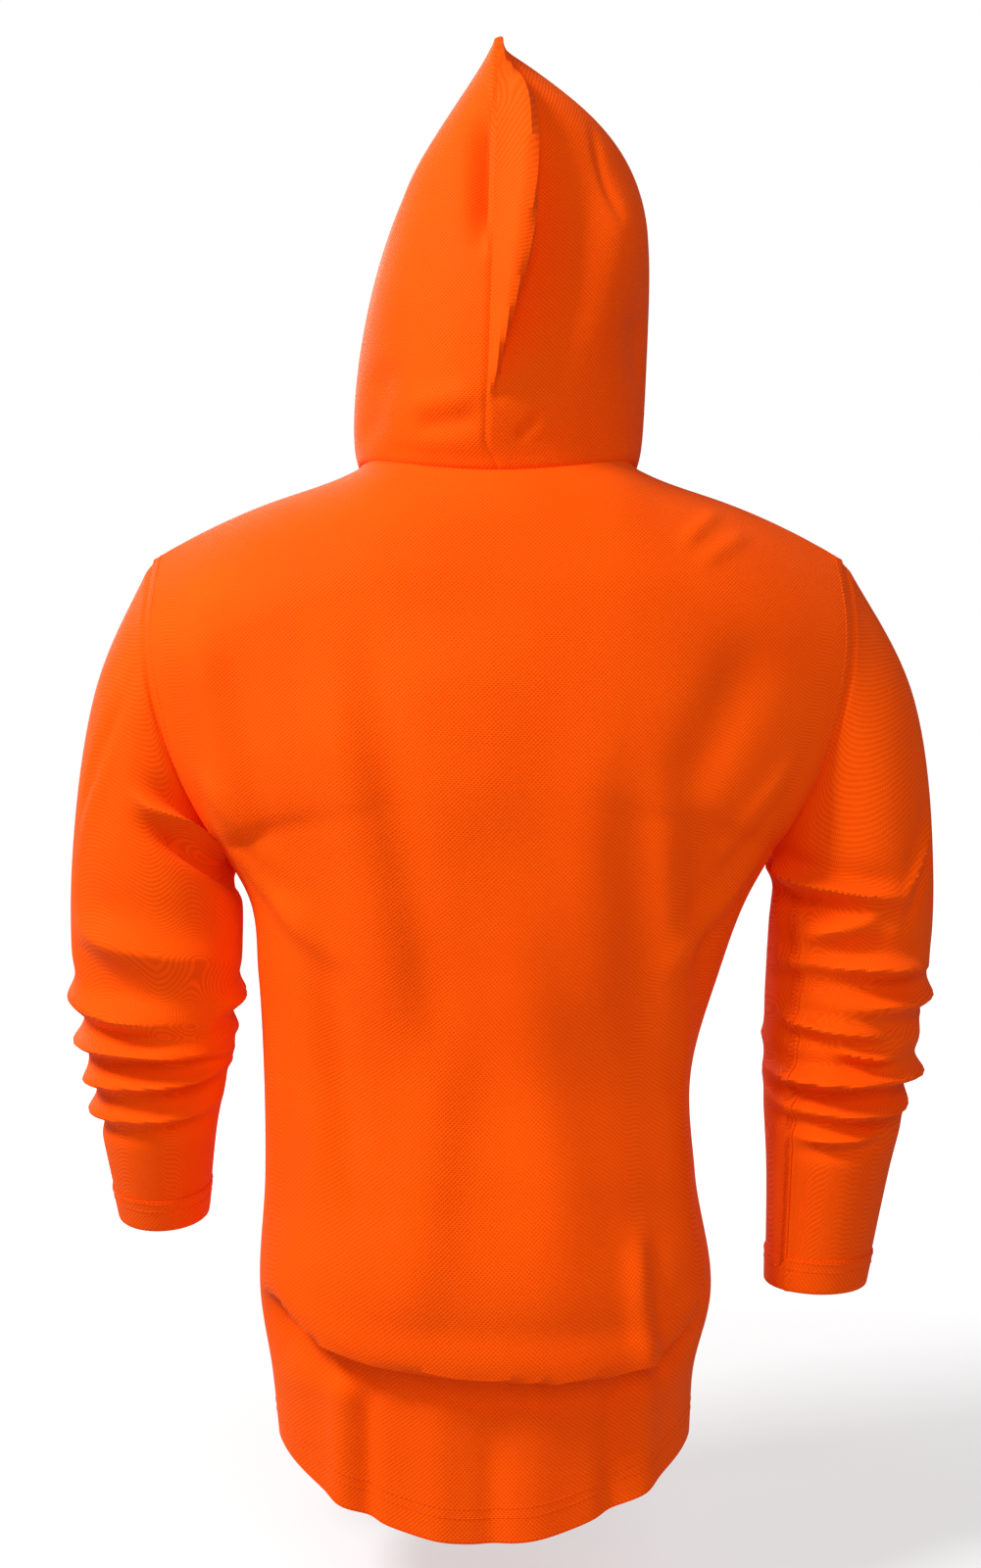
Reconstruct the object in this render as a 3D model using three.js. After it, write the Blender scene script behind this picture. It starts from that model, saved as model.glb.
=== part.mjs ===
// A blaze orange hooded long-sleeve work shirt in birdseye mesh knit, as it hangs when it is worn.
// Millimetres. +Z is up, the wearer faces -Y, and the wearer's left arm is at +X.
// The origin is the middle of the neck, level with the back neck seam.
import * as THREE from "three";

// Cloth and clearances.
const CLOTH = 2.0; // thickness of a panel's solid
const TURNED = 1.4; // thickness of a turned-in hem, tape or label
const THREAD = 0.7; // thickness of a line of stitching
const THREAD_WIDTH = 1.4;
const LAYER_GAP = 0.4; // between two layers that lie on each other
const SEAM_GAP = 0.7; // between two panels that meet edge to edge

// Body of the shirt.
const SHOULDER_HALF = 252; // centre line to shoulder point
const SHOULDER_Z = -54;
const UNDERARM_Z = -262;
const HEM_SIDE_Z = -686;
const HEM_BACK_Z = HEM_SIDE_Z - 54; // the back hem drops to a tail
const HEM_FRONT_Z = HEM_SIDE_Z - 18;
const SHOULDER_ROUND = 95; // height over which the cloth turns over the shoulder
const ARMHOLE_BACK = 56; // how far the armhole seam swings back and forward of the side line
const ARMHOLE_FRONT = 52;
const SIDE_ROUNDNESS = 2.4; // superellipse exponent of the body's cross-section
const HEM_HEIGHT = 24;

// Heights where the body's cross-section is set: half width, sideways shift, back and front depth.
const BODY = [
  { z: HEM_SIDE_Z, half: SHOULDER_HALF - 103, shift: 10, back: 96, front: -101 },
  { z: HEM_SIDE_Z + 46, half: SHOULDER_HALF - 99, shift: 11, back: 99, front: -103 },
  { z: HEM_SIDE_Z + 96, half: SHOULDER_HALF - 89, shift: 9, back: 117, front: -110 },
  { z: UNDERARM_Z - 238, half: SHOULDER_HALF - 96, shift: 13, back: 108, front: -112 },
  { z: UNDERARM_Z - 168, half: SHOULDER_HALF - 97, shift: 15, back: 98, front: -112 },
  { z: UNDERARM_Z - 95, half: SHOULDER_HALF - 85, shift: 7, back: 102, front: -116 },
  { z: UNDERARM_Z - 39, half: SHOULDER_HALF - 71, shift: 0, back: 110, front: -122 },
  { z: UNDERARM_Z, half: SHOULDER_HALF - 49, shift: 0, back: 115, front: -126 },
  { z: UNDERARM_Z + 62, half: SHOULDER_HALF - 20, shift: 0, back: 119, front: -124 },
  { z: SHOULDER_Z - 76, half: SHOULDER_HALF - 2, shift: 0, back: 117, front: -116 },
  { z: SHOULDER_Z, half: SHOULDER_HALF, shift: 0, back: 108, front: -104 },
];

// Neck seam: an oval that rises from the nape to its sides and drops to the throat in front.
const NECK_HALF = 100;
const NECK_BACK_Y = 72;
const NECK_FRONT_Y = -88;
const THROAT_DROP = 75;
const NECK_SIDE_RISE = 16; // how far the neck seam rises from the nape to its sides
const NECK_DROP_POWER = 4.5; // how late the neckline drops on its way to the throat
const SHOULDER_SEAM_ANGLE = -10; // where the shoulder seam meets the oval, forward of the side
const SHOULDER_BOW = 7; // how far the shoulder seam arches over a straight line
const NECK_SHARE = NECK_HALF / SHOULDER_HALF; // part of a panel's top edge that is neckline

// Hood.
const PEAK = { y: 40, z: 321 };
const HOOD_BACK_BULGE = 34;
const FACE_TOP = { y: -122, z: 262 };
const FACE_HALF = 60; // half width of the face opening at cheek height
const FACE_BOW = 6;
const TOP_RISE = 16; // how far the crown seam bows up between peak and brow
const THROAT_OVERLAP = 14; // degrees by which each front edge passes the centre line
const HOOD_SIDES = { left: { sign: 1, bulge: 16 }, right: { sign: -1, bulge: 56 } };
const BULGE_RISE = 2.0; // a panel bulges most where h to this power is a half
const FACE_HEM = 25;
const HOOD_STANDOFF = { back: CLOTH, front: 1.8 * CLOTH }; // the hood's lower edge above the body's neckline
const LAP_STANDOFF = CLOTH + 1.8; // each front edge is set off this far where the two lap

// Sleeves, from the cap to the cuff: centre, half width and half depth of the tube, how far its ring
// is tilted up at the outside, and its pitch in degrees where the forearm points forward.
const SLEEVES = {
  left: {
    sign: 1,
    rings: [
      { x: SHOULDER_HALF - 4, y: 0, z: UNDERARM_Z + 49, half: 45, depth: 58, lift: 63, pitch: 0 },
      { x: SHOULDER_HALF - 3, y: 1, z: UNDERARM_Z - 28, half: 61, depth: 60, lift: 17, pitch: 0 },
      { x: SHOULDER_HALF - 3, y: 2, z: UNDERARM_Z - 128, half: 58, depth: 56, lift: 5, pitch: 2 },
      { x: SHOULDER_HALF - 3, y: -9, z: UNDERARM_Z - 208, half: 42, depth: 42, lift: 0, pitch: 12 },
      { x: SHOULDER_HALF - 4, y: -25, z: UNDERARM_Z - 274, half: 32, depth: 34, lift: 0, pitch: 13 },
    ],
  },
  right: {
    sign: -1,
    rings: [
      { x: SHOULDER_HALF + 1, y: 0, z: UNDERARM_Z + 43, half: 50, depth: 58, lift: 63, pitch: 0 },
      { x: SHOULDER_HALF + 6, y: 1, z: UNDERARM_Z - 41, half: 59, depth: 60, lift: 15, pitch: 0 },
      { x: SHOULDER_HALF - 2, y: 2, z: UNDERARM_Z - 153, half: 56, depth: 56, lift: 5, pitch: 0 },
      { x: SHOULDER_HALF - 11, y: 0, z: UNDERARM_Z - 238, half: 44, depth: 44, lift: 0, pitch: 3 },
      { x: SHOULDER_HALF - 19, y: -6, z: UNDERARM_Z - 320, half: 36, depth: 36, lift: 0, pitch: 4 },
    ],
  },
};
const CUFF_HEM = 24;
const ARMHOLE_STANDOFF = CLOTH + 0.6; // the sleeve starts this far outside the body's edge

// Colours.
const ORANGE = new THREE.MeshStandardMaterial({ color: 0xff5a0a, roughness: 0.75, metalness: 0 });
const ORANGE_THREAD = new THREE.MeshStandardMaterial({ color: 0xff6a1c, roughness: 0.6, metalness: 0 });
const WHITE_LABEL = new THREE.MeshStandardMaterial({ color: 0xf2f0ea, roughness: 0.5, metalness: 0 });

const { lerp, degToRad, clamp, smoothstep } = THREE.MathUtils;
const vec = (x, y, z) => new THREE.Vector3(x, y, z);
const steps = (from, to, count) => Array.from({ length: count + 1 }, (_, i) => lerp(from, to, i / count));

// ---------- sheets of cloth ----------

// Samples point(u, v) at columns us and rows vs. Each vertex has its place and its outward normal.
// seamAxis(i, j) names the axis across a seam, which the normals there have to be square to.
function sheet(point, us, vs, { closed = false, outward = 1, seamAxis = () => null } = {}) {
  const places = vs.map((v) => us.map((u) => point(u, v)));
  const last = us.length - 1;
  const side = (i, step) => (closed ? (i + step + us.length) % us.length : clamp(i + step, 0, last));
  const normals = places.map((row, j) =>
    row.map((_, i) => {
      const across = row[side(i, 1)].clone().sub(row[side(i, -1)]);
      const up = places[Math.min(j + 1, vs.length - 1)][i].clone().sub(places[Math.max(j - 1, 0)][i]);
      const normal = across.cross(up).multiplyScalar(outward);
      const axis = seamAxis(i, j);
      if (axis) normal[axis] = 0;
      return normal.normalize();
    }),
  );
  return { places, normals, closed, outward };
}

// A value of a sheet at a fractional row and column, on the triangles that its quads are split into.
function between(field, row, column, closed) {
  const count = field[0].length;
  const j = Math.min(Math.floor(row), field.length - 2);
  const i = Math.min(Math.floor(column), closed ? count - 1 : count - 2);
  const next = (i + 1) % count;
  const [up, along] = [row - j, column - i];
  const corner = along >= up ? field[j][next] : field[j + 1][i];
  const [first, second] = along >= up ? [along, up] : [up, along];
  const near = field[j][i].clone().lerp(corner, first);
  return near.addScaledVector(field[j + 1][next].clone().sub(corner), second);
}

// Where a cut has its vertices: its two ends, the sheet's own lines between them and, for a strip that
// is narrower than a quad, the places where its two edges cross a quad's diagonal.
const CLOSEST = 0.02;
function stops([low, high], edges, crossing) {
  const whole = [];
  for (let k = Math.floor(low); k <= Math.ceil(high); k++) whole.push(k);
  const diagonals = crossing ? whole.flatMap((k) => edges.map((edge) => k + edge - Math.floor(edge))) : [];
  const inner = [...whole, ...diagonals].filter((k) => k > low + CLOSEST && k < high - CLOSEST);
  return [low, ...inner.sort((a, b) => a - b), high];
}

// The part of a sheet between two rows and two columns, given as fractional indices, so that a layer
// made from it lies flat on the sheet. thin is "rows" or "columns" for a strip narrower than a quad.
function cut(from, rows, columns, { closed = false, thin = "" } = {}) {
  const rowStops = stops(rows, columns, thin === "columns");
  const columnStops = stops(columns, rows, thin === "rows");
  const pick = (field) => rowStops.map((j) => columnStops.map((i) => between(field, j, i, from.closed)));
  const made = { places: pick(from.places), normals: pick(from.normals), closed, outward: from.outward };
  if (closed) for (const row of [...made.places, ...made.normals]) row.pop();
  return made;
}

// Two sheets with the same rows, side by side.
const beside = (a, b, closed = false) => ({
  places: a.places.map((row, j) => [...row, ...b.places[j]]),
  normals: a.normals.map((row, j) => [...row, ...b.normals[j]]),
  closed,
  outward: a.outward,
});

const backwards = (from) => ({
  places: from.places.map((row) => [...row].reverse()),
  normals: from.normals.map((row) => [...row].reverse()),
  closed: from.closed,
  outward: -from.outward,
});

// One sheet, then another of as many columns turned upside down and added past its last row.
const folded = (a, b) => ({
  places: [...a.places, ...[...b.places].reverse()],
  normals: [...a.normals, ...[...b.normals].reverse()],
  closed: false,
  outward: a.outward,
});

// The closed solid between two offsets from a sheet, along its normals.
function slab(from, low, high) {
  const rows = from.places.length;
  const columns = from.places[0].length;
  const corners = [];
  for (const offset of [low, high]) {
    for (let j = 0; j < rows; j++) {
      for (let i = 0; i < columns; i++) {
        corners.push(from.places[j][i].clone().addScaledVector(from.normals[j][i], offset));
      }
    }
  }
  const at = (layer, j, i) => layer * rows * columns + j * columns + (i % columns);
  const triangles = [];
  const quad = (a, b, c, d) => triangles.push(a, b, c, a, c, d);
  const spans = from.closed ? columns : columns - 1;
  for (let i = 0; i < spans; i++) {
    for (let j = 0; j < rows - 1; j++) {
      quad(at(1, j, i), at(1, j, i + 1), at(1, j + 1, i + 1), at(1, j + 1, i));
      quad(at(0, j, i), at(0, j + 1, i), at(0, j + 1, i + 1), at(0, j, i + 1));
    }
    quad(at(0, 0, i), at(0, 0, i + 1), at(1, 0, i + 1), at(1, 0, i));
    quad(at(1, rows - 1, i), at(1, rows - 1, i + 1), at(0, rows - 1, i + 1), at(0, rows - 1, i));
  }
  for (let j = 0; j < rows - 1 && !from.closed; j++) {
    quad(at(0, j, 0), at(1, j, 0), at(1, j + 1, 0), at(0, j + 1, 0));
    const i = columns - 1;
    quad(at(1, j, i), at(0, j, i), at(0, j + 1, i), at(1, j + 1, i));
  }
  if (from.outward < 0) triangles.reverse();
  const geometry = new THREE.BufferGeometry().setFromPoints(corners).setIndex(triangles);
  geometry.computeVertexNormals();
  return geometry;
}

const panelSolid = (from) => slab(from, -CLOTH / 2, CLOTH / 2);
const turnedSolid = (from) => slab(from, -CLOTH / 2 - LAYER_GAP - TURNED, -CLOTH / 2 - LAYER_GAP);
const innerThreadSolid = (from) => slab(from, -CLOTH / 2 - LAYER_GAP - THREAD, -CLOTH / 2 - LAYER_GAP);
const threadSolid = (from) => slab(from, CLOTH / 2 + LAYER_GAP, CLOTH / 2 + LAYER_GAP + THREAD);

// ---------- body panels ----------

const bodyTrack = new THREE.CubicInterpolant(
  BODY.map((s) => s.z),
  BODY.flatMap((s) => [s.half, s.shift, s.back, s.front]),
  4,
);
function bodyAt(z) {
  const [half, shift, back, front] = bodyTrack.evaluate(clamp(z, HEM_SIDE_Z, SHOULDER_Z));
  return { half, shift, back, front };
}

// A point of the neck seam: angle 90 is the back, 0 the wearer's left, -90 the throat.
function neckSeam(degrees) {
  const a = degToRad(degrees);
  const middle = (NECK_BACK_Y + NECK_FRONT_Y) / 2;
  const depth = (NECK_BACK_Y - NECK_FRONT_Y) / 2;
  const drop = THROAT_DROP * Math.pow((1 - Math.sin(a)) / 2, NECK_DROP_POWER);
  const z = NECK_SIDE_RISE * Math.pow(Math.cos(a), 2) - drop;
  return vec(NECK_HALF * Math.cos(a), middle + depth * Math.sin(a), z);
}

// Top edge of a panel: the neckline from the middle out to the shoulder seam, then that seam.
function topEdge(u, face) {
  const share = Math.abs(u) / NECK_SHARE;
  const meet = neckSeam(SHOULDER_SEAM_ANGLE);
  const tip = vec(SHOULDER_HALF, 0, SHOULDER_Z);
  const out = clamp((Math.abs(u) - NECK_SHARE) / (1 - NECK_SHARE), 0, 1);
  const p = share <= 1 ? neckSeam(lerp(face * 90, SHOULDER_SEAM_ANGLE, share)) : meet.lerp(tip, out);
  p.x *= Math.sign(u) || 0;
  p.z += SHOULDER_BOW * Math.sin(Math.PI * out);
  return p;
}

// A point of the back (face 1) or front (face -1) panel. u runs from the wearer's right to left, v up.
function bodyPoint(face, u, v) {
  const top = topEdge(u, face);
  const sideZ = lerp(HEM_SIDE_Z, SHOULDER_Z, v);
  const middleHem = face > 0 ? HEM_BACK_Z : HEM_FRONT_Z;
  const hemZ = lerp(middleHem, HEM_SIDE_Z, Math.pow(Math.abs(u), 2));
  const z = lerp(hemZ, top.z, v);
  const side = bodyAt(sideZ);
  const level = bodyAt(z);
  const x = side.shift + side.half * u + (top.x - SHOULDER_HALF * u) * Math.pow(v, 5);

  const up = clamp((sideZ - UNDERARM_Z) / (SHOULDER_Z - UNDERARM_Z), 0, 1);
  const armhole = face > 0 ? ARMHOLE_BACK : -ARMHOLE_FRONT;
  const edgeY = armhole * 2 * Math.sqrt(up * (1 - up));
  const round = Math.pow(Math.max(0, 1 - Math.pow(Math.abs(u), SIDE_ROUNDNESS)), 1 / SIDE_ROUNDNESS);
  const flat = 1 - Math.pow(Math.abs(u), SIDE_ROUNDNESS);
  const across = lerp(round, flat, smoothstep(up, 0, 0.5));
  const middleY = face > 0 ? level.back : level.front;
  const bodyY = edgeY + (middleY - edgeY) * across;

  const turn = clamp((top.z - z) / SHOULDER_ROUND, 0, 1);
  const over = Math.sqrt(1 - (1 - turn) * (1 - turn));
  return vec(x, lerp(top.y, bodyY, over) + (face * SEAM_GAP) / 2, z);
}

const UNDERARM_V = (UNDERARM_Z - HEM_SIDE_Z) / (SHOULDER_Z - HEM_SIDE_Z);
const HEM_V = HEM_HEIGHT / (SHOULDER_Z - HEM_SIDE_Z);
const NECK_COLUMNS = 6;
const halfColumns = [
  ...steps(0, NECK_SHARE, NECK_COLUMNS),
  ...[0.26, 0.5, 0.71, 0.86, 0.955, 1].map((t) => lerp(NECK_SHARE, 1, t)),
];
const bodyColumns = [...halfColumns.slice(1).map((u) => -u).reverse(), ...halfColumns];
// Rows where the cloth turns over the shoulder, by the angle it has turned through.
const shoulderRows = [75, 60, 45, 30, 15, 0].map(
  (a) => 1 - (1 - Math.cos(degToRad(a))) * (SHOULDER_ROUND / (SHOULDER_Z - HEM_SIDE_Z)),
);
const bodyRows = [
  ...[0, HEM_V],
  ...[0.127, 0.194, 0.253, 0.358, 0.507, 0.656, 0.79, 0.894, 0.961].map((t) => t * UNDERARM_V),
  ...[0, 0.363, 0.685].map((t) => lerp(UNDERARM_V, shoulderRows[0], t)),
  ...shoulderRows,
];
const MIDDLE_COLUMN = halfColumns.length - 1;

const lastColumn = bodyColumns.length - 1;
const topRow = bodyRows.length - 1;
const underarmRow = bodyRows.length - shoulderRows.length - 3;

// The side and shoulder seams join the two panels at y = 0, face to face.
function bodySeamAxis(i, j) {
  const side = (i === 0 || i === lastColumn) && j <= underarmRow;
  const shoulder = j === topRow && Math.abs(i - MIDDLE_COLUMN) >= NECK_COLUMNS;
  return side || shoulder ? "y" : null;
}
const bodySheet = (face) =>
  sheet((u, v) => bodyPoint(face, u, v), bodyColumns, bodyRows, { outward: -face, seamAxis: bodySeamAxis });
const backSheet = bodySheet(1);
const frontSheet = bodySheet(-1);

// ---------- sleeves ----------

// The armhole seam as the sleeve meets it: angle 0 is the shoulder point, 90 the back, 180 the underarm.
function armhole(sign, degrees) {
  const a = degToRad(degrees);
  const v = lerp(UNDERARM_V, 1, (1 + Math.cos(a)) / 2);
  return bodyPoint(Math.sin(a) >= 0 ? 1 : -1, sign, v);
}

// A point of a sleeve: degrees round it as on the armhole, and t from 0 at the armhole to 1 at the cuff.
function sleevePoint({ sign, rings }, degrees, t) {
  const a = degToRad(degrees);
  const start = {
    x: (bodyAt(SHOULDER_Z).half + bodyAt(UNDERARM_Z).half) / 2,
    y: 0,
    z: (SHOULDER_Z + UNDERARM_Z) / 2,
    half: (bodyAt(SHOULDER_Z).half - bodyAt(UNDERARM_Z).half) / 2,
    depth: (ARMHOLE_BACK + ARMHOLE_FRONT) / 2,
    lift: (SHOULDER_Z - UNDERARM_Z) / 2,
    pitch: 0,
  };
  const all = [start, ...rings];
  const keys = ["x", "y", "z", "half", "depth", "lift", "pitch"];
  const track = new THREE.CubicInterpolant(
    all.map((_, k) => k / (all.length - 1)),
    all.flatMap((r) => keys.map((key) => r[key])),
    keys.length,
  );
  const [x, y, z, half, depth, lift, pitch] = track.evaluate(t);
  const tilt = degToRad(pitch);
  const oval = vec(
    x + half * Math.cos(a),
    y + depth * Math.sin(a) * Math.cos(tilt),
    z + lift * Math.cos(a) - depth * Math.sin(a) * Math.sin(tilt),
  );
  const startOval = vec(
    start.x + start.half * Math.cos(a),
    start.depth * Math.sin(a),
    start.z + start.lift * Math.cos(a),
  );
  const seam = armhole(1, degrees);
  const fade = Math.pow(1 - Math.min(t / 0.3, 1), 2);
  oval.addScaledVector(seam.sub(startOval), fade);
  oval.x = (oval.x + ARMHOLE_STANDOFF * Math.min(fade * 2, 1)) * sign;
  return oval;
}

const ROUND_STEPS = 18;
const sleeveRows = [0, 0.06, 0.14, 0.24, 0.34, 0.45, 0.56, 0.66, 0.76, 0.86, 0.94];

// The two rows at the cuff are a hem's height apart.
function sleeveSheet(side) {
  const spec = SLEEVES[side];
  const [above, end] = spec.rings.slice(-2);
  const hemShare = (CUFF_HEM / (above.z - end.z)) * (1 / spec.rings.length);
  const rows = [...sleeveRows.filter((t) => t < 1 - hemShare - 0.02), 1 - hemShare, 1];
  const degrees = steps(0, 360, ROUND_STEPS).slice(0, -1);
  return sheet((d, t) => sleevePoint(spec, d, t), degrees, rows, { closed: true, outward: spec.sign });
}

// ---------- hood ----------

// Edges of a hood panel. The centre seam runs up the back of the head, s = 0, and over the crown, h = 1.
const hoodBack = (h) =>
  vec(0, lerp(NECK_BACK_Y, PEAK.y, h) + HOOD_BACK_BULGE * Math.sin(Math.PI * Math.pow(h, 0.8)), PEAK.z * h);
const hoodCrown = (s) =>
  vec(0, lerp(PEAK.y, FACE_TOP.y, s), lerp(PEAK.z, FACE_TOP.z, s) + TOP_RISE * Math.sin(Math.PI * s));
const hoodNeck = (s) => neckSeam(lerp(90, -90 - THROAT_OVERLAP, s));
function hoodFace(h) {
  const low = hoodNeck(1);
  const bow = Math.sin(Math.PI * Math.pow(h, 0.85));
  return vec(
    lerp(low.x, 0, h) + FACE_HALF * Math.pow(bow, 0.75),
    lerp(low.y, FACE_TOP.y, h) - FACE_BOW * bow,
    lerp(low.z, FACE_TOP.z, h),
  );
}

// A point of a hood panel: s from the centre seam to the face edge, h from the neck seam to the crown.
function hoodPoint({ sign, bulge }, s, h) {
  const p = vec(0, 0, 0)
    .addScaledVector(hoodBack(h), 1 - s)
    .addScaledVector(hoodFace(h), s)
    .addScaledVector(hoodNeck(s), 1 - h)
    .addScaledVector(hoodCrown(s), h)
    .addScaledVector(hoodNeck(0), -(1 - s) * (1 - h))
    .addScaledVector(hoodNeck(1), -s * (1 - h))
    .addScaledVector(hoodCrown(0), -(1 - s) * h)
    .addScaledVector(hoodCrown(1), -s * h);
  p.x += bulge * Math.sin(Math.PI * Math.sqrt(s)) * Math.sin(Math.PI * Math.pow(h, BULGE_RISE));
  const lapped = smoothstep(s, 0.8, 0.92) * (1 - smoothstep(h, 0.3, 0.5));
  p.y -= sign * lapped * LAP_STANDOFF;
  p.x = (p.x + SEAM_GAP / 2) * sign;
  p.z += lerp(HOOD_STANDOFF.back, HOOD_STANDOFF.front, Math.min(s * 2, 1));
  return p;
}

// A hood panel's columns meet the body panels' columns along the neck seam, so the two edges match.
const neckAngles = [
  ...steps(90, SHOULDER_SEAM_ANGLE, NECK_COLUMNS),
  ...steps(SHOULDER_SEAM_ANGLE, -90, NECK_COLUMNS).slice(1),
];
const hoodColumns = [...neckAngles.map((degrees) => (90 - degrees) / (180 + THROAT_OVERLAP)), 1];
const hoodRows = [0, 0.04, 0.12, 0.22, 0.34, 0.46, 0.58, 0.7, 0.81, 0.9, 0.96, 1];
const crownRow = hoodRows.length - 1;
const faceEdge = hoodColumns.length - 1;
const hoodSheet = (side) =>
  sheet((s, h) => hoodPoint(HOOD_SIDES[side], s, h), hoodColumns, hoodRows, {
    outward: -HOOD_SIDES[side].sign,
    seamAxis: (i, j) => (i === 0 || j === crownRow ? "x" : null),
  });

// ---------- assembly ----------

const shirt = new THREE.Group();
function add(name, geometry, material = ORANGE) {
  const mesh = new THREE.Mesh(geometry, material);
  mesh.name = name;
  shirt.add(mesh);
}
const addStitching = (name, strip) => add(name, threadSolid(strip), ORANGE_THREAD);
const addOverlock = (name, strip) => add(name, innerThreadSolid(strip), ORANGE_THREAD);

// A line of stitching, as the pair of fractional rows or columns it lies between.
function line(middle, bandWidth) {
  const half = THREAD_WIDTH / 2 / bandWidth;
  return [middle - half, middle + half];
}
const STITCH_UPPER = 0.92; // lines of stitching, as shares of the height of a hem
const STITCH_LOWER = 0.66;
const acrossRows = { thin: "rows" };
const acrossColumns = { thin: "columns" };

add("back_panel", panelSolid(backSheet));
add("front_panel", panelSolid(frontSheet));
const hemColumns = [0.3, lastColumn - 0.3];
add("back_hem_turn_up", turnedSolid(cut(backSheet, [0, 1], hemColumns)));
add("front_hem_turn_up", turnedSolid(cut(frontSheet, [0, 1], hemColumns)));

// Two lines of hem stitching run once round the shirt.
function hemLine(share) {
  const [back, front] = [backSheet, frontSheet].map((panel) =>
    cut(panel, line(share, HEM_HEIGHT), [0, lastColumn]),
  );
  return beside(back, backwards(front), true);
}
addStitching("hem_stitch_upper", hemLine(STITCH_UPPER));
addStitching("hem_stitch_lower", hemLine(STITCH_LOWER));

// Neck seam stitching, just below the neckline on each panel.
const neckLine = (panel, reach) =>
  cut(panel, [topRow - 0.5, topRow - 0.42], [MIDDLE_COLUMN - reach, MIDDLE_COLUMN + reach], acrossRows);
addStitching("back_neck_topstitch", neckLine(backSheet, NECK_COLUMNS - 0.1));
addStitching("front_neck_topstitch", neckLine(frontSheet, NECK_COLUMNS - 2.3));

// Blank labels: one at the nape and one beside the left side seam.
const napeLabel = cut(backSheet, [topRow - 3, topRow - 2], [MIDDLE_COLUMN - 1, MIDDLE_COLUMN + 1]);
add("nape_label", turnedSolid(napeLabel), WHITE_LABEL);
const careLabel = cut(backSheet, [3, 4], [lastColumn - 2, lastColumn - 1]);
add("care_label", turnedSolid(careLabel), WHITE_LABEL);

for (const side of ["left", "right"]) {
  const { sign } = SLEEVES[side];

  // Columns counted in from this side's edge of the body.
  const fromEdge = (far, near) => (sign > 0 ? [lastColumn - far, lastColumn - near] : [near, far]);
  const shoulderColumns = fromEdge(MIDDLE_COLUMN - NECK_COLUMNS - 0.1, 0.5);
  const shoulderTape = cut(backSheet, [topRow - 0.42, topRow - 0.06], shoulderColumns, acrossRows);
  add(`${side}_shoulder_tape`, turnedSolid(shoulderTape));
  const sideSeam = cut(backSheet, [1.2, underarmRow - 0.3], fromEdge(0.3, 0.08), acrossColumns);
  addOverlock(`${side}_side_seam_overlock`, sideSeam);

  // Armhole stitching, from the underarm up the back, over the shoulder point and down the front.
  const [upBack, downFront] = [backSheet, frontSheet].map((panel) =>
    cut(panel, [underarmRow + 0.6, topRow], fromEdge(0.62, 0.5), acrossColumns),
  );
  addStitching(`${side}_armhole_stitch`, folded(upBack, downFront));

  // The sleeve, its turned cuff, two lines of cuff stitching and the seam under the arm.
  const sleeve = sleeveSheet(side);
  const end = sleeve.places.length - 1;
  const wholeTurn = [0, ROUND_STEPS];
  const cuffBand = (rows) => cut(sleeve, rows, wholeTurn, { closed: true });
  add(`${side}_sleeve`, panelSolid(sleeve));
  add(`${side}_cuff_turn_up`, turnedSolid(cuffBand([end - 1, end])));
  addStitching(`${side}_cuff_stitch_upper`, cuffBand(line(end - STITCH_UPPER, CUFF_HEM)));
  addStitching(`${side}_cuff_stitch_lower`, cuffBand(line(end - STITCH_LOWER, CUFF_HEM)));
  const underarmColumns = [ROUND_STEPS / 2 + 0.1, ROUND_STEPS / 2 + 0.35];
  addOverlock(`${side}_sleeve_seam_overlock`, cut(sleeve, [0.8, end - 1.3], underarmColumns, acrossColumns));

  // The hood panel and its turned and stitched face edge.
  const hood = hoodSheet(side);
  const faceRows = [0.15, crownRow - 0.6];
  add(`${side}_hood_panel`, panelSolid(hood));
  add(`${side}_face_hem`, turnedSolid(cut(hood, faceRows, [faceEdge - 1, faceEdge])));
  addStitching(`${side}_face_stitch`, cut(hood, faceRows, line(faceEdge - 0.9, FACE_HEM), acrossColumns));
}

// Inside the hood: a tape over the neck seam from shoulder to shoulder, and the overlocked back seam.
const [hoodLeft, hoodRight] = ["left", "right"].map(hoodSheet);
const halfTape = (hood) => cut(hood, [0.15, 0.85], [0, NECK_COLUMNS], acrossRows);
add("neck_tape", turnedSolid(beside(backwards(halfTape(hoodLeft)), halfTape(hoodRight))));
addOverlock("hood_seam_overlock", cut(hoodLeft, [1.2, crownRow - 1.2], [0.15, 0.6], acrossColumns));

export default shirt;
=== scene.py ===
import math
from collections import namedtuple

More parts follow.
